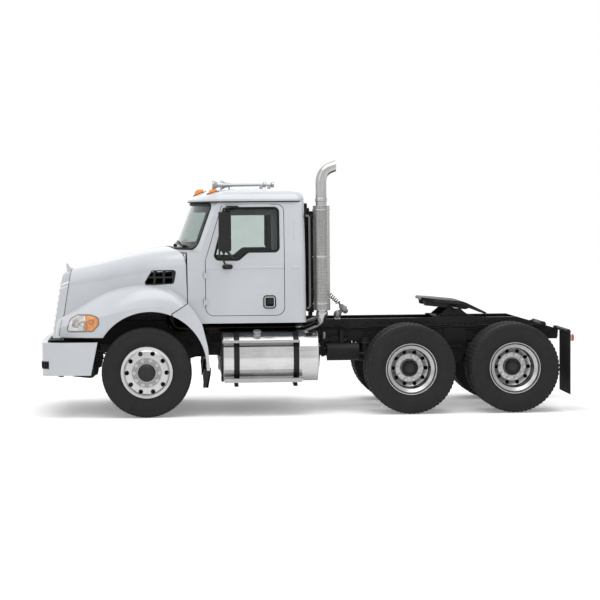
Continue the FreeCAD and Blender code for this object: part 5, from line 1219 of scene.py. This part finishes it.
def lampBezels():
    look = frontSettings
    sideStrips("lampBezel_@", "bezel", "hood headlamps", "hood", edgeLoop(look["lamp"], look["lampRadii"], 0.002),
               0.016, 0.0045)
    sideStrips("ventEdge_@", "plastic", "hood hood_vents", "hood",
               edgeLoop(look["vent"], look["ventRadius"], -0.001), 0.013, 0.004)
    tree = surfaceOf("hood headlamps")
    for side, hand in hands:
        rings = Shape()
        for x, z, radius in look["lampRings"]:
            for share in (1.0, 0.62):
                loop = [Vector((x + radius * share * cos(tau * i / 28),
                                z + radius * share * sin(tau * i / 28))) for i in range(28)]
                rings.strip(sideLoop(tree, loop, side), 0.0055, 0.0016)
        loop = [Vector((-0.702 + 0.02 * sin(i / 3), 1.016 + 0.0185 * i)) for i in range(10)]
        rings.strip(sideLoop(tree, loop, side), 0.007, 0.002, closed=False)
        rings.make("lampRings_" + hand, "bezel", "hood")


def bumperRecess():
    # ribbed black opening that wraps each front corner of the bumper; its near-black pad is painted shade inside the
    # opening
    look = frontSettings
    tree = surfaceOf("bumper")
    low, high = look["recess"]
    first, last = look["recessAngles"]
    pad, ribs = Shape(), Shape()
    for side in (1, -1):
        corner = spot(look["corner"][0], side * look["corner"][1], 0.0)
        columns = []
        for share in (step / 24 for step in range(25)):
            slide = min(0.0, first * 0.003 * (1 - share * 2.2))
            angle = radians(max(0.0, last * (share - 0.45) / 0.55))
            out = Vector((-cos(angle), side * sin(angle), 0))
            base = corner + Vector((0, side * slide, 0))
            column = []
            for height, lift in ((low, 0.0004), (low + 0.008, 0.0022), ((low + high) / 2, 0.0022),
                                 (high - 0.008, 0.0022), (high, 0.0004)):
                hit, _ = cast(tree, base + out * 0.5 + Vector((0, 0, height)), -out)[0]
                column.append(hit + out * lift)
            columns.append((column, out))
        pad.add([p for column, _ in columns for p in column], rowFaces(len(columns), 5, tube=False))
        for column, out in columns[1:24:3]:
            ribs.sweep([column[1] + out * 0.002, column[3] + out * 0.002], 0.0045, 6)
        for end in (0, -1):
            ribs.strip([(column[end], out) for column, out in columns], 0.012, 0.005, closed=False)
    # the pad is painted shade in the opening
    pad.make("bumperRecess", "cavityShade", smooth=False)
    ribs.make("bumperRecessRibs", "plastic")


def splashPanels():
    # black air dam under the bumper, with a panel on each side between it and the tyre
    look = frontSettings
    panels = Shape()
    for side in (1, -1):
        for out, thick, outline in look["plates"]:
            panels.prism([spot(x, side * out, z) for x, z in outline], (0, side * thick, 0))
        for height in (0.52, 0.6, 0.68, 0.76):
            panels.sweep([spot(-0.62, side * 0.609, height), spot(-0.94, side * 0.609, height)], 0.005, 6)
    panels.prism([spot(x, -1.08, z) for x, z in look["dam"]], (0, 2.16, 0))
    panels.make("splashPanels", "plastic", smooth=False, bevel=0.0015)


def hoodSealShade():
    # rubber tube just under the gap between hood and cab, up both sides and over the top; it darkens the gap as
    # painted shade
    look = frontSettings
    tree = surfaceOf("cab_shell")
    corners = [Vector(p) for p in look["seamSide"]]
    run = [start.lerp(end, step / 14) + Vector((0.008, 0)) for start, end in zip(corners, corners[1:])
           for step in range(14)]
    middle, corner, half = look["seamTop"]
    over = []
    for step in range(61):
        across = -half + 2 * half * step / 60
        ahead = middle + (corner - middle) * (across / half) ** 2 + 0.008
        over += [found for found in cast(tree, spot(ahead, across * 0.985, 3.0), down) if found[0].z > 1.75]
    paths = [[found for found in sideLoop(tree, run[3:], side) if abs(found[0].y) > 0.8] for side in (1, -1)]
    seal = Shape()
    for path in paths + [over]:
        seal.sweep([point + Vector((-0.01, 0, 0)) - normal * 0.017 for point, normal in path], 0.0085, 8)
    # dark tube seen through the gap: painted shade between hood and cab
    seal.make("hoodSealShade", "gasket")


def hoodFin():
    # plain bright fin at the front of the hood
    look = frontSettings
    tree = surfaceOf("hood grille")
    base = [cast(tree, spot(station, 0.0, 2.4), down)[0][0] for station in look["fin"]]
    fin = Shape().prism([base[i] + Vector((ahead, -0.006, up)) for i, ahead, up in look["finOutline"]], (0, 0.012, 0))
    fin.make("hoodFin", "chrome", "hood", smooth=False, bevel=0.004)


grilleMesh()
grilleSeam()
lampBezels()
bumperRecess()
splashPanels()
hoodSealShade()
hoodFin()
print("front details made")


# Exhaust: perforated shield with its bands, and the dark pipes behind the cab

stackSettings = {
    "station": 2.062, "side": -0.9, "low": 1.219, "high": 2.44, "radius": 0.098, "wall": 0.0022,
    "pitch": 0.0175, "hole": 0.0056, "halfOpen": 0.312, "bands": (1.279, 1.8295, 2.38), "bandHigh": 0.03,
    "pipe": 0.064, "collars": (1.178, 2.512), "clips": (1.5, 1.86, 2.22),
    # pipes: station, side, low end, high end, radius
    "pipes": ((1.89, -0.655, 1.215, 2.475, 0.0185), (1.922, -0.598, 1.215, 2.42, 0.016),
              (1.952, -0.59, 1.215, 2.38, 0.024)),
}


def stackShield():
    # punched plate of square cells, rolled round the stack, open toward the cab's middle
    look = stackSettings
    arc = look["radius"] * 2 * (pi - look["halfOpen"])
    tall = look["high"] - look["low"]
    columns, rows = round(arc / look["pitch"]), round(tall / look["pitch"])
    wide, high = arc / columns, tall / rows
    maker = Maker("stackShield", {"Columns": columns, "Rows": rows, "Radius": look["radius"],
                                  "Hole": look["hole"], "Wall": look["wall"]})
    frame = maker.add("CurvePrimitiveQuadrilateral", Width=wide, Height=high)
    hole = maker.add("CurvePrimitiveCircle", Resolution=8, Radius=maker.value["Hole"])
    grid = maker.add("MeshGrid", Size_X=arc - wide, Size_Y=tall - high, Vertices_X=maker.value["Columns"],
                     Vertices_Y=maker.value["Rows"])
    cells = maker.add("InstanceOnPoints", Points=grid, Instance=maker.add("FillCurve", Curve=maker.join(frame, hole)))
    plate = maker.add("MergeByDistance", Geometry=maker.add("RealizeInstances", Geometry=cells), Distance=0.0003)
    thick = maker.add("ExtrudeMesh", Mesh=plate, Offset_Scale=maker.value["Wall"], Individual=False)
    whole = maker.join(thick, maker.add("FlipFaces", Mesh=plate))
    flat = maker.node("SeparateXYZ", {"Vector": maker.add("InputPosition")}).node.outputs
    angle = maker.math("DIVIDE", flat["X"], maker.value["Radius"])
    reach = maker.math("ADD", flat["Z"], look["radius"] - look["wall"])
    rolled = maker.node("CombineXYZ", {"X": maker.math("MULTIPLY", maker.math("SINE", angle), reach), "Z": flat["Y"],
                                       "Y": maker.math("MULTIPLY", maker.math("COSINE", angle),
                                                       maker.math("MULTIPLY", reach, -1.0))})
    middle = spot(look["station"], look["side"], (look["low"] + look["high"]) / 2)
    piece = maker.build(maker.add("SetPosition", Geometry=whole, Position=rolled), "stainless", "root", middle)
    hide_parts("exhaust_shield")


def flatOut(angle):
    return Vector((cos(angle), sin(angle), 0))


def stackBands():
    look = stackSettings
    bands, bolts = Shape(), Shape()
    radius, gap, inner = look["radius"], look["halfOpen"], look["pipe"] + 0.0008
    edges = [flatOut(pi / 2 + gap + (tau - 2 * gap) * i / 60) for i in range(61)]
    for low in look["bands"]:
        centre = spot(look["station"], look["side"], low + look["bandHigh"] / 2)
        bands.strip([(centre + out * (radius + 0.0002), out) for out in edges], 0.02, 0.0022, closed=False)
        bands.turn([(-0.012, inner), (-0.012, inner + 0.003), (0.012, inner + 0.003), (0.012, inner)],
                   centre, upright, 48, closed=True)
        for out in (flatOut(radians(90 * turn)) for turn in (0, 2, 3)):
            bolts.sweep([centre + out * (inner + 0.002), centre + out * (radius - 0.002)], 0.007, 8)
            bolts.turn([(0.0, 0.01), (0.005, 0.01), (0.006, 0.006), (0.006, 0.0)],
                       centre + out * (radius + 0.002), out, 6)
    for height in (look["low"], look["high"]):
        centre = spot(look["station"], look["side"], height)
        bands.sweep([centre + out * radius for out in edges], 0.0034, 6)
    for height in look["collars"]:
        bands.turn([(-0.022, 0.0645), (-0.022, 0.0685), (-0.016, 0.0705), (0.016, 0.0705), (0.022, 0.0685),
                    (0.022, 0.0645)], spot(look["station"], look["side"], height), upright, 48, closed=True)
    bands.make("stackBands", "stack")
    bolts.make("stackBolts", "stack", smooth=False)


def cabBackPipes():
    # dark conduits that stand between the cab and the mast, clipped to the mast
    pipes, clips = Shape(), Shape()
    for station, side, low, high, radius in stackSettings["pipes"]:
        path = [spot(station + 0.02, side + 0.06, low - 0.01), spot(station + 0.004, side + 0.016, low + 0.01)]
        path += [spot(station, side, low + 0.05 + (high - low - 0.05) * i / 6) for i in range(7)]
        pipes.sweep(path, radius, 14)
        pipes.turn([(0.0, radius + 0.0004), (0.006, radius + 0.003), (0.03, radius + 0.003),
                    (0.036, radius + 0.0004)], spot(station, side, high - 0.05), upright, 20)
    for height in stackSettings["clips"]:
        clips.block(spot(1.868, -0.679, height), spot(1.9316, -0.574, height + 0.022))
    pipes.make("cabBackPipes", "gasket")
    clips.make("cabBackClips", "chassis", smooth=False, bevel=0.002)


stackShield()
stackBands()
cabBackPipes()
print("exhaust shield and pipes made")


# Cabin: door linings, sprung seats with stuffed cushions, dials and boards behind the windshield

cabinSettings = {
    # pads: outline of (station, height), half width, edge radius, fill from 0, slack, to 1, tight
    "pads": {"seatCushion": (((1.115, 1.444), (1.605, 1.444), (1.605, 1.55), (1.115, 1.566)), 0.238, 0.045, 0.7),
             "seatBack": (((1.528, 1.505), (1.632, 1.505), (1.712, 2.196), (1.638, 2.206)), 0.228, 0.035, 0.65)},
    "seatSide": 0.49, "voxel": 0.011, "pressure": 4.0, "frames": 20, "cap": 0.024,
    # seat frames: front, rear, half width, low, high
    "frameBlocks": ((1.2, 1.505, 0.165, 1.246, 1.262), (1.222, 1.492, 0.15, 1.275, 1.299),
                    (1.222, 1.492, 0.15, 1.31, 1.334), (1.222, 1.492, 0.15, 1.345, 1.369),
                    (1.222, 1.492, 0.15, 1.38, 1.404), (1.212, 1.498, 0.165, 1.414, 1.436)),
    "liningInset": 0.1, "liningLow": 0.01, "liningThick": 0.01,
    # boards: first and last upper point, first and last lower point as (side, height), gap above and below
    "boards": (((-0.84, 2.455), (0.84, 2.455), (-0.84, 2.375), (0.84, 2.375), 0.04, 0.06),
               ((0.915, 1.975), (0.858, 2.45), (0.79, 1.975), (0.745, 2.45), 0.02, 0.11),
               ((-0.915, 1.975), (-0.858, 2.45), (-0.79, 1.975), (-0.745, 2.45), 0.02, 0.11),
               ((-0.915, 2.01), (0.915, 2.01), (-0.92, 1.972), (0.92, 1.972), 0.02, 0.02)),
}


def roundedBlock(outline, half, side, radius):
    # side outline given by (station, height), carried across and rounded at all edges
    loop = spaced(roundedLoop(outline, radius, 5), 0.03)
    inset = radius * 0.8
    middle = sum(loop, Vector((0, 0))) / len(loop)
    rings = ((-half, inset), (-half + inset * 0.35, inset * 0.3), (-half + inset, 0.0),
             (half - inset, 0.0), (half - inset * 0.35, inset * 0.3), (half, inset))
    verts = []
    for across, shrink in rings:
        for away in (point - middle for point in loop):
            place = middle + away * (1 - shrink / max(away.length, 0.05))
            verts.append(spot(place.x, side + across, place.y))
    return Shape().add(verts, tubeFaces(len(rings), len(loop)))


def stuffed(shape, name):
    # a pad swelled by cloth pressure, its points held within the cap of where they began
    piece = shape.make(name, "cloth")
    look = cabinSettings
    remesh = piece.modifiers.new("remesh", "REMESH")
    remesh.mode = "VOXEL"
    remesh.voxel_size = look["voxel"]
    fine = evaluatedMesh(piece)
    piece.modifiers.clear()
    piece.data = fine
    before = [v.co.copy() for v in fine.vertices]
    cloth = piece.modifiers.new("swell", "CLOTH")
    cloth.settings.use_pressure = True
    cloth.settings.uniform_pressure_force = look["pressure"]
    cloth.settings.effector_weights.gravity = 0.0
    for step in range(1, look["frames"] + 1):
        bpy.context.scene.frame_set(step)
    swelled = evaluatedMesh(piece)
    piece.modifiers.clear()
    for vertex, start in zip(swelled.vertices, before):
        moved = vertex.co - start
        if moved.length > look["cap"]:
            vertex.co = start + moved.normalized() * look["cap"]
    swelled.materials.clear()
    swelled.materials.append(finish["cloth"])
    swelled.polygons.foreach_set("use_smooth", [True] * len(swelled.polygons))
    piece.data = swelled
    bpy.context.scene.frame_set(1)
    soft = piece.modifiers.new("smooth", "SUBSURF")
    soft.levels = soft.render_levels = 1


def seats():
    look = cabinSettings
    frames = Shape()
    for side, hand in hands:
        middle = side * look["seatSide"]
        for name, (outline, half, radius, fill) in look["pads"].items():
            stuffed(roundedBlock(outline, half, middle, radius), "%s_%s" % (name, hand))
        for front, rear, half, low, high in look["frameBlocks"]:
            frames.block(spot(front, middle - half, low), spot(rear, middle + half, high))
        for across in (-0.235, 0.235):
            frames.sweep([spot(1.46, middle + across, 1.47), spot(1.62, middle + across, 1.5)], 0.012, 10)
    frames.make("seatFrames", "plastic", smooth=False, replaced=["seats"], bevel=0.004)


def doorLinings():
    # dark flat inner panel that frames each side window, leaned as the door's inner side
    look = cabinSettings
    loop = edgeLoop(cabSettings["window"], cabSettings["windowRadii"], 0.02, 0.025)
    high, rear = max(p.y for p in loop), max(p.x for p in loop)
    holes = []
    for p in loop:
        back, top = (min(1.0, max(0.0, (a - b + 0.05) / 0.05)) for a, b in ((p.x, rear), (p.y, high)))
        holes.append(p - Vector((back, top)) * look["liningInset"])
        if p.y < 1.96:
            holes[-1].y += look["liningLow"]
    size, heights = len(loop), [p.y for p in loop]
    for side, hand in hands:
        tree = surfaceOf("door_" + hand)
        reaches = []
        for p in loop:
            found = cast(tree, spot(p.x, 0.0, p.y), (0, side, 0))
            reaches.append(abs(found[0][0].y) - 0.004 if found else 0.985)
        meanHeight, meanReach = sum(heights) / size, sum(reaches) / size
        slope = (sum((h - meanHeight) * (r - meanReach) for h, r in zip(heights, reaches))
                 / sum((h - meanHeight) ** 2 for h in heights))
        floor = min(r - (meanReach + slope * (h - meanHeight)) for h, r in zip(heights, reaches))
        verts = []
        for p, hole in zip(loop, holes):
            for point, back in ((p, 0.0), (hole, 0.0), (hole, look["liningThick"]), (p, look["liningThick"])):
                across = meanReach + slope * (point.y - meanHeight) + floor - back
                verts.append(spot(point.x, side * across, point.y))
        panel = Shape().add(verts, rowFaces(size, 4, loop=True))
        panel.make("doorLining_" + hand, "trim", "door_" + hand, smooth=False)


def dashDials():
    # round dials and square switch panels on the board
    dials = Shape()
    for column in range(4):
        dials.turn([(0.0, 0.04), (0.006, 0.044), (0.01, 0.042), (0.006, 0.037), (0.006, 0.0)],
                   spot(0.8895, -0.66 + column * 0.115, 1.775), (1, 0, 0), 28)
    for column in range(3):
        low = spot(0.89, -0.2 + column * 0.14, 1.66)
        dials.block(low, low + Vector((0.006, 0.11, 0.075)))
    dials.make("dashDials", "plastic", smooth=False)


def sunVisors():
    # folded sun visor board, pillar trim and a band along the foot of the windshield, all behind the glass
    tree, thick, steps = surfaceOf("cab_glass"), 0.014, 12
    boards = Shape()
    for first, last, lowFirst, lowLast, near, deep in cabinSettings["boards"]:
        verts = []
        for step in range(steps + 1):
            section = []
            for start, end, gap in ((first, last, near), (lowFirst, lowLast, deep)):
                across, height = Vector(start).lerp(Vector(end), step / steps)
                found = cast(tree, spot(-0.5, across, height), (1, 0, 0))
                reach = (found[0][0].x if found else 0.75 - noseShift) + gap
                section += [Vector((reach, across, height)), Vector((reach + thick, across, height))]
            verts += [section[0], section[1], section[3], section[2]]
        boards.add(verts, tubeFaces(steps + 1, 4))
    boards.make("sunVisors", "trim", smooth=False)


seats()
sunVisors()
doorLinings()
dashDials()
print("cabin made")


# Air line: a tight coil from the cab's back to the coupling behind it, with its end fittings

lineSettings = {
    # the route's points, in metres behind the front axle, as the CAD tube's
    "route": ((1.89306, -0.25, 1.5), (2.00306, -0.25, 1.5), (2.14, -0.41, 1.44), (2.3088, -0.47, 1.2575)),
    "coil": 0.0232, "wire": 0.0065, "pitch": 0.027, "perTurn": 14, "lead": 0.035, "leadSteps": 6,
    "coupling": (2.277, -0.47, 1.146), "lean": 40.0,
}


def routePoints():
    # points along the smooth line that the route's spline draws
    data = bpy.data.curves.new("airRoute", "CURVE")
    data.dimensions = "3D"
    spline = data.splines.new("NURBS")
    places = [spot(*point) for point in lineSettings["route"]]
    spline.points.add(len(places) - 1)
    for target, place in zip(spline.points, places):
        target.co = (*place, 1.0)
    spline.order_u = 3
    spline.use_endpoint_u = True
    spline.resolution_u = 24
    carrier = addObject("airRoute", data)
    mesh = evaluatedMesh(carrier)
    found = [v.co.copy() for v in mesh.vertices]
    bpy.data.objects.remove(carrier)
    bpy.data.meshes.remove(mesh)
    bpy.data.curves.remove(data)
    return found[::-1] if (found[0] - places[0]).length > (found[-1] - places[0]).length else found


def airLine():
    look = lineSettings
    route = routePoints()
    lead, ends = look["lead"], look["leadSteps"]
    lengths = [0.0]
    for before, after in zip(route, route[1:]):
        lengths.append(lengths[-1] + (after - before).length)
    whole = lengths[-1]
    turns = round((whole - 2 * lead) / look["pitch"])
    count = turns * look["perTurn"]
    path, side, segment = [], None, 0
    for step in range(-ends, count + ends + 1):
        # near grows from the straight lead to the coil's full width, and share runs along the coil
        share = min(max(step / count, 0.0), 1.0)
        near = min(1.0, (step + ends) / ends, (count + ends - step) / ends)
        away = lead + (whole - 2 * lead) * share
        if near < 1.0:
            away = lead * near if step < 0 else whole - lead * near
        while segment < len(lengths) - 2 and lengths[segment + 1] < away:
            segment += 1
        span = max(lengths[segment + 1] - lengths[segment], 1e-6)
        point = route[segment].lerp(route[segment + 1], (away - lengths[segment]) / span)
        ahead = (route[min(segment + 2, len(route) - 1)] - route[max(segment - 1, 0)]).normalized()
        side = side or ahead.orthogonal()
        side = (side - ahead * side.dot(ahead)).normalized()
        angle = tau * turns * share
        out = side * cos(angle) + ahead.cross(side) * sin(angle)
        path.append(point + out * look["coil"] * near)
    coil = Shape()
    coil.sweep(path, look["wire"], 8)
    for start, after in ((route[0], route[1]), (route[-1], route[-2])):
        axis = (after - start).normalized()
        coil.turn([(0.0, 0.0), (0.0, 0.011), (0.01, 0.011), (0.012, 0.0085), (0.026, 0.0085), (0.03, 0.0)],
                  start + axis * 0.0005, axis, 16)
    coil.make("airLineCoil", "coil", replaced=["air_line"])
    print("air line", round(whole, 3), "m along its route, coil turns", turns)


def couplingDetails():
    # ribs, face rings and a bolt on the round coupling head that the line ends in
    look = lineSettings
    lean = radians(look["lean"])
    out = Vector((cos(lean), 0, sin(lean)))
    foot = spot(*look["coupling"])
    head = foot + out * 0.096
    detail = Shape()
    for sign in (1, -1):
        detail.turn([(0.0275, 0.05), (0.0315, 0.048), (0.0315, 0.04), (0.0275, 0.038)], head, out * sign, 36)
    detail.turn([(0.027, 0.02), (0.04, 0.018), (0.044, 0.012), (0.044, 0.0)], head, out, 24)
    detail.studs(head, out, Vector((0, 1, 0)), 14, 0.06, -0.017, 0.017, 0.006)
    detail.turn([(-0.01, 0.0475), (0.01, 0.0475), (0.012, 0.044), (-0.012, 0.044)], foot, upright, 32, closed=True)
    detail.make("couplingRibs", "coupling")


airLine()
couplingDetails()


# Fender flaps, valves by the frame, fifth wheel fittings and roof pieces

restSettings = {
    "fifth": (3.69, 1.2), "fifthTilt": 6.0, "grooves": (0.16, 0.25, 0.34),
    # flaps: side, thickness across, outline of (station, height)
    "flaps": ((1.1765, 0.005, tuple(roundedLoop(((0.656, 0.56), (0.748, 0.56), (0.742, 0.5), (0.712, 0.338),
                                                 (0.66, 0.345), (0.648, 0.48)), 0.008, 3))),
              (1.1815, -0.2, ((0.69, 0.35), (0.712, 0.338), (0.742, 0.5), (0.748, 0.56), (0.738, 0.56)))),
    # valves and hoses beside the rails: two corners; start, bow, end and radius
    "valves": (((2.075, 0.44, 0.64), (2.115, 0.52, 0.905)), ((2.18, 0.436, 0.76), (2.3, 0.5, 0.88)),
               ((2.33, 0.436, 0.82), (2.39, 0.56, 0.86)), ((2.395, 0.436, 0.63), (2.425, 0.47, 0.88)),
               ((2.44, 0.436, 0.7), (2.52, 0.49, 0.8)), ((2.085, 0.452, 0.82), (2.175, 0.54, 0.87))),
    "hoses": (((2.06, 0.455, 0.86), (2.2, 0.5, 0.6), (2.36, 0.462, 0.845), 0.012),
              ((2.12, 0.47, 0.9), (2.3, 0.53, 0.66), (2.5, 0.468, 0.8), 0.009),
              ((2.24, 0.47, 0.79), (2.36, 0.51, 0.62), (2.56, 0.5, 0.72), 0.01),
              ((2.1, 0.48, 0.7), (2.26, 0.56, 0.82), (2.47, 0.48, 0.7), 0.008)),
    "dryer": ((0.0, 0.0), (0.0, 0.06), (0.01, 0.066), (0.09, 0.066), (0.096, 0.072), (0.112, 0.072),
              (0.118, 0.064), (0.17, 0.05), (0.176, 0.0)),
    "handle": ((-0.02, -0.1, 0.026), (-0.02, -0.3, 0.026), (-0.02, -0.455, 0.02), (-0.02, -0.5, 0.006),
               (-0.02, -0.545, 0.004), (0.02, -0.56, 0.004), (0.03, -0.545, 0.004), (0.005, -0.52, 0.004)),
    "lamps": ((0.0, 0.64), (-0.17, 0.646), (0.17, 0.646), (-0.64, 0.8), (0.64, 0.8)),
    "horns": ((-0.33, 0.8), (-0.22, 0.9)), "hornHeight": 2.702,
    "mouth": ((-0.001, 0.0425), (-0.005, 0.047), (-0.004, 0.0525), (0.002, 0.055), (0.008, 0.0535), (0.01, 0.051)),
    "hornBack": ((0.6, 0.0152), (0.604, 0.03), (0.632, 0.034), (0.64, 0.03), (0.642, 0.0)),
    "tailLamp": (4.9862, 1.098, 0.844, 1.208, 0.896),
}


def legFlaps():
    # black plastic extension at the foot of each fender leg, over the rubber flap
    flaps = Shape()
    for side in (1, -1):
        for out, thick, outline in restSettings["flaps"]:
            flaps.prism([spot(x, side * out, z) for x, z in outline], (0, side * thick, 0))
        flaps.sweep([spot(0.662, side * 1.1825, 0.545), spot(0.742, side * 1.1825, 0.545)], 0.004, 6)
    flaps.make("legFlaps", "plastic", smooth=False, bevel=0.001)


def frameClutter():
    # valves, an air dryer, hoses and brackets hung beside and between the rails ahead of the drive axles
    look = restSettings
    solid, hoses, bright = Shape(), Shape(), Shape()
    for side in (1, -1):
        for (x0, y0, z0), (x1, y1, z1) in look["valves"]:
            near, far = sorted((side * y0, side * y1))
            solid.block(spot(x0, near, z0), spot(x1, far, z1))
        solid.turn(look["dryer"], spot(2.6, side * 0.52, 0.69), upright, 28)
        solid.block(spot(2.575, side * 0.5 - 0.07, 0.84), spot(2.625, side * 0.5 + 0.02, 0.864))
        for *corners, radius in look["hoses"]:
            start, bow, end = (spot(x, side * y, z) for x, y, z in corners)
            path = [start * (1 - t) ** 2 + bow * 2 * t * (1 - t) + end * t * t for t in (i / 16 for i in range(17))]
            hoses.sweep(path, radius, 8)
            for tip, after in ((path[0], path[1]), (path[-1], path[-2])):
                bright.turn([(0.0, radius * 1.35), (0.014, radius * 1.35), (0.016, radius * 1.05)],
                            tip, after - tip, 6)
        bright.turn([(-0.012, 0.0), (-0.012, 0.03), (0.000, 0.04), (0.016, 0.042), (0.02, 0.03), (0.02, 0.0)],
                    spot(2.096, side * 0.64, 0.902), (1, 0, 0), 24)
    for height, out in ((0.7, 0.32), (0.76, 0.24)):
        hoses.sweep([spot(2.1, out, height), spot(2.35, out * 1.1, height - 0.05), spot(2.62, out, height)],
                    0.014, 10)
    solid.make("frameValves", "iron", smooth=False, bevel=0.004)
    hoses.make("frameHoses", "gasket")
    bright.make("hoseFittings", "steelFlange", smooth=False)


def fifthWheelDetails():
    # grease grooves and the release handle of the plate, and bolts and caps on its brackets
    look = restSettings
    station, height = look["fifth"]
    tree = surfaceOf("fifth_wheel_plate")
    grooves, handle = Shape(), Shape()
    for side in (1, -1):
        for reach in look["grooves"]:
            run = []
            for angle in (radians(18 + 144 * step / 23) for step in range(24)):
                x, y = station + reach * 0.92 * cos(angle), side * reach * sin(angle) * 1.05
                run += [found for found in cast(tree, spot(x, y, 1.8), down) if found[1].z > 0.9]
            if len(run) > 4:
                grooves.strip(run, 0.01, 0.0012, closed=False)
    tilt = radians(look["fifthTilt"])
    along, up = Vector((cos(tilt), 0, -sin(tilt))), Vector((sin(tilt), 0, cos(tilt)))
    handle.sweep([spot(station, y, height) + along * x + up * z for x, y, z in look["handle"]], 0.008, 8)
    grooves.make("plateGrooves", "chassis", "fifth_wheel")
    handle.make("releaseHandle", "steelFlange", "fifth_wheel")
    for side, hand in hands:
        start = spot(station - 0.15, side * 0.3825, 1.118)
        addBoltRow("pivotBolts_" + hand, side, start, (0.1, 0, 0), 4, 0.012, 0.012)
        cap = Shape().turn([(0.0, 0.03), (0.006, 0.03), (0.009, 0.024), (0.009, 0.0)],
                           spot(station, side * 0.3965, height), (0, side, 0), 24)
        cap.make("pivotCap_" + hand, "iron")


def roofDetails():
    # gaskets under the marker lamps and rolled horn mouths
    look = restSettings
    tree = surfaceOf("cab_roof")
    gaskets, mouths = Shape(), Shape()
    for side, station in look["lamps"]:
        loop = roundedLoop(rectangle(station - 0.07, side - 0.032, station + 0.074, side + 0.032), 0.014)
        gaskets.strip(projected(tree, spaced(loop, 0.02), lambda p: spot(p.x, p.y, 3.2), down), 0.01, 0.006)
    for side, front in look["horns"]:
        centre = spot(front, side, look["hornHeight"])
        mouths.turn(look["mouth"], centre, (1, 0, 0), 40)
        mouths.turn(look["hornBack"], centre, (1, 0, 0), 28)
    gaskets.make("lampGaskets", "gasket")
    mouths.make("hornMouths", "horn")


def tailLampSeals():
    plane, near, low, far, high = restSettings["tailLamp"]
    seals = Shape()
    for side in (1, -1):
        loop = spaced(roundedLoop(rectangle(side * near, low, side * far, high), 0.008), 0.02)
        seals.strip([(spot(plane, p.x, p.y), Vector((1, 0, 0))) for p in loop], 0.006, 0.002)
        seals.turn([(0.0, 0.042), (0.004, 0.042), (0.0045, 0.0385)], spot(plane, side * 1.152, 0.87), (1, 0, 0), 32)
    seals.make("tailLampSeals", "gasket")


legFlaps()
frameClutter()
fifthWheelDetails()
roofDetails()
tailLampSeals()
print("hubs, valves, plate and roof details made")
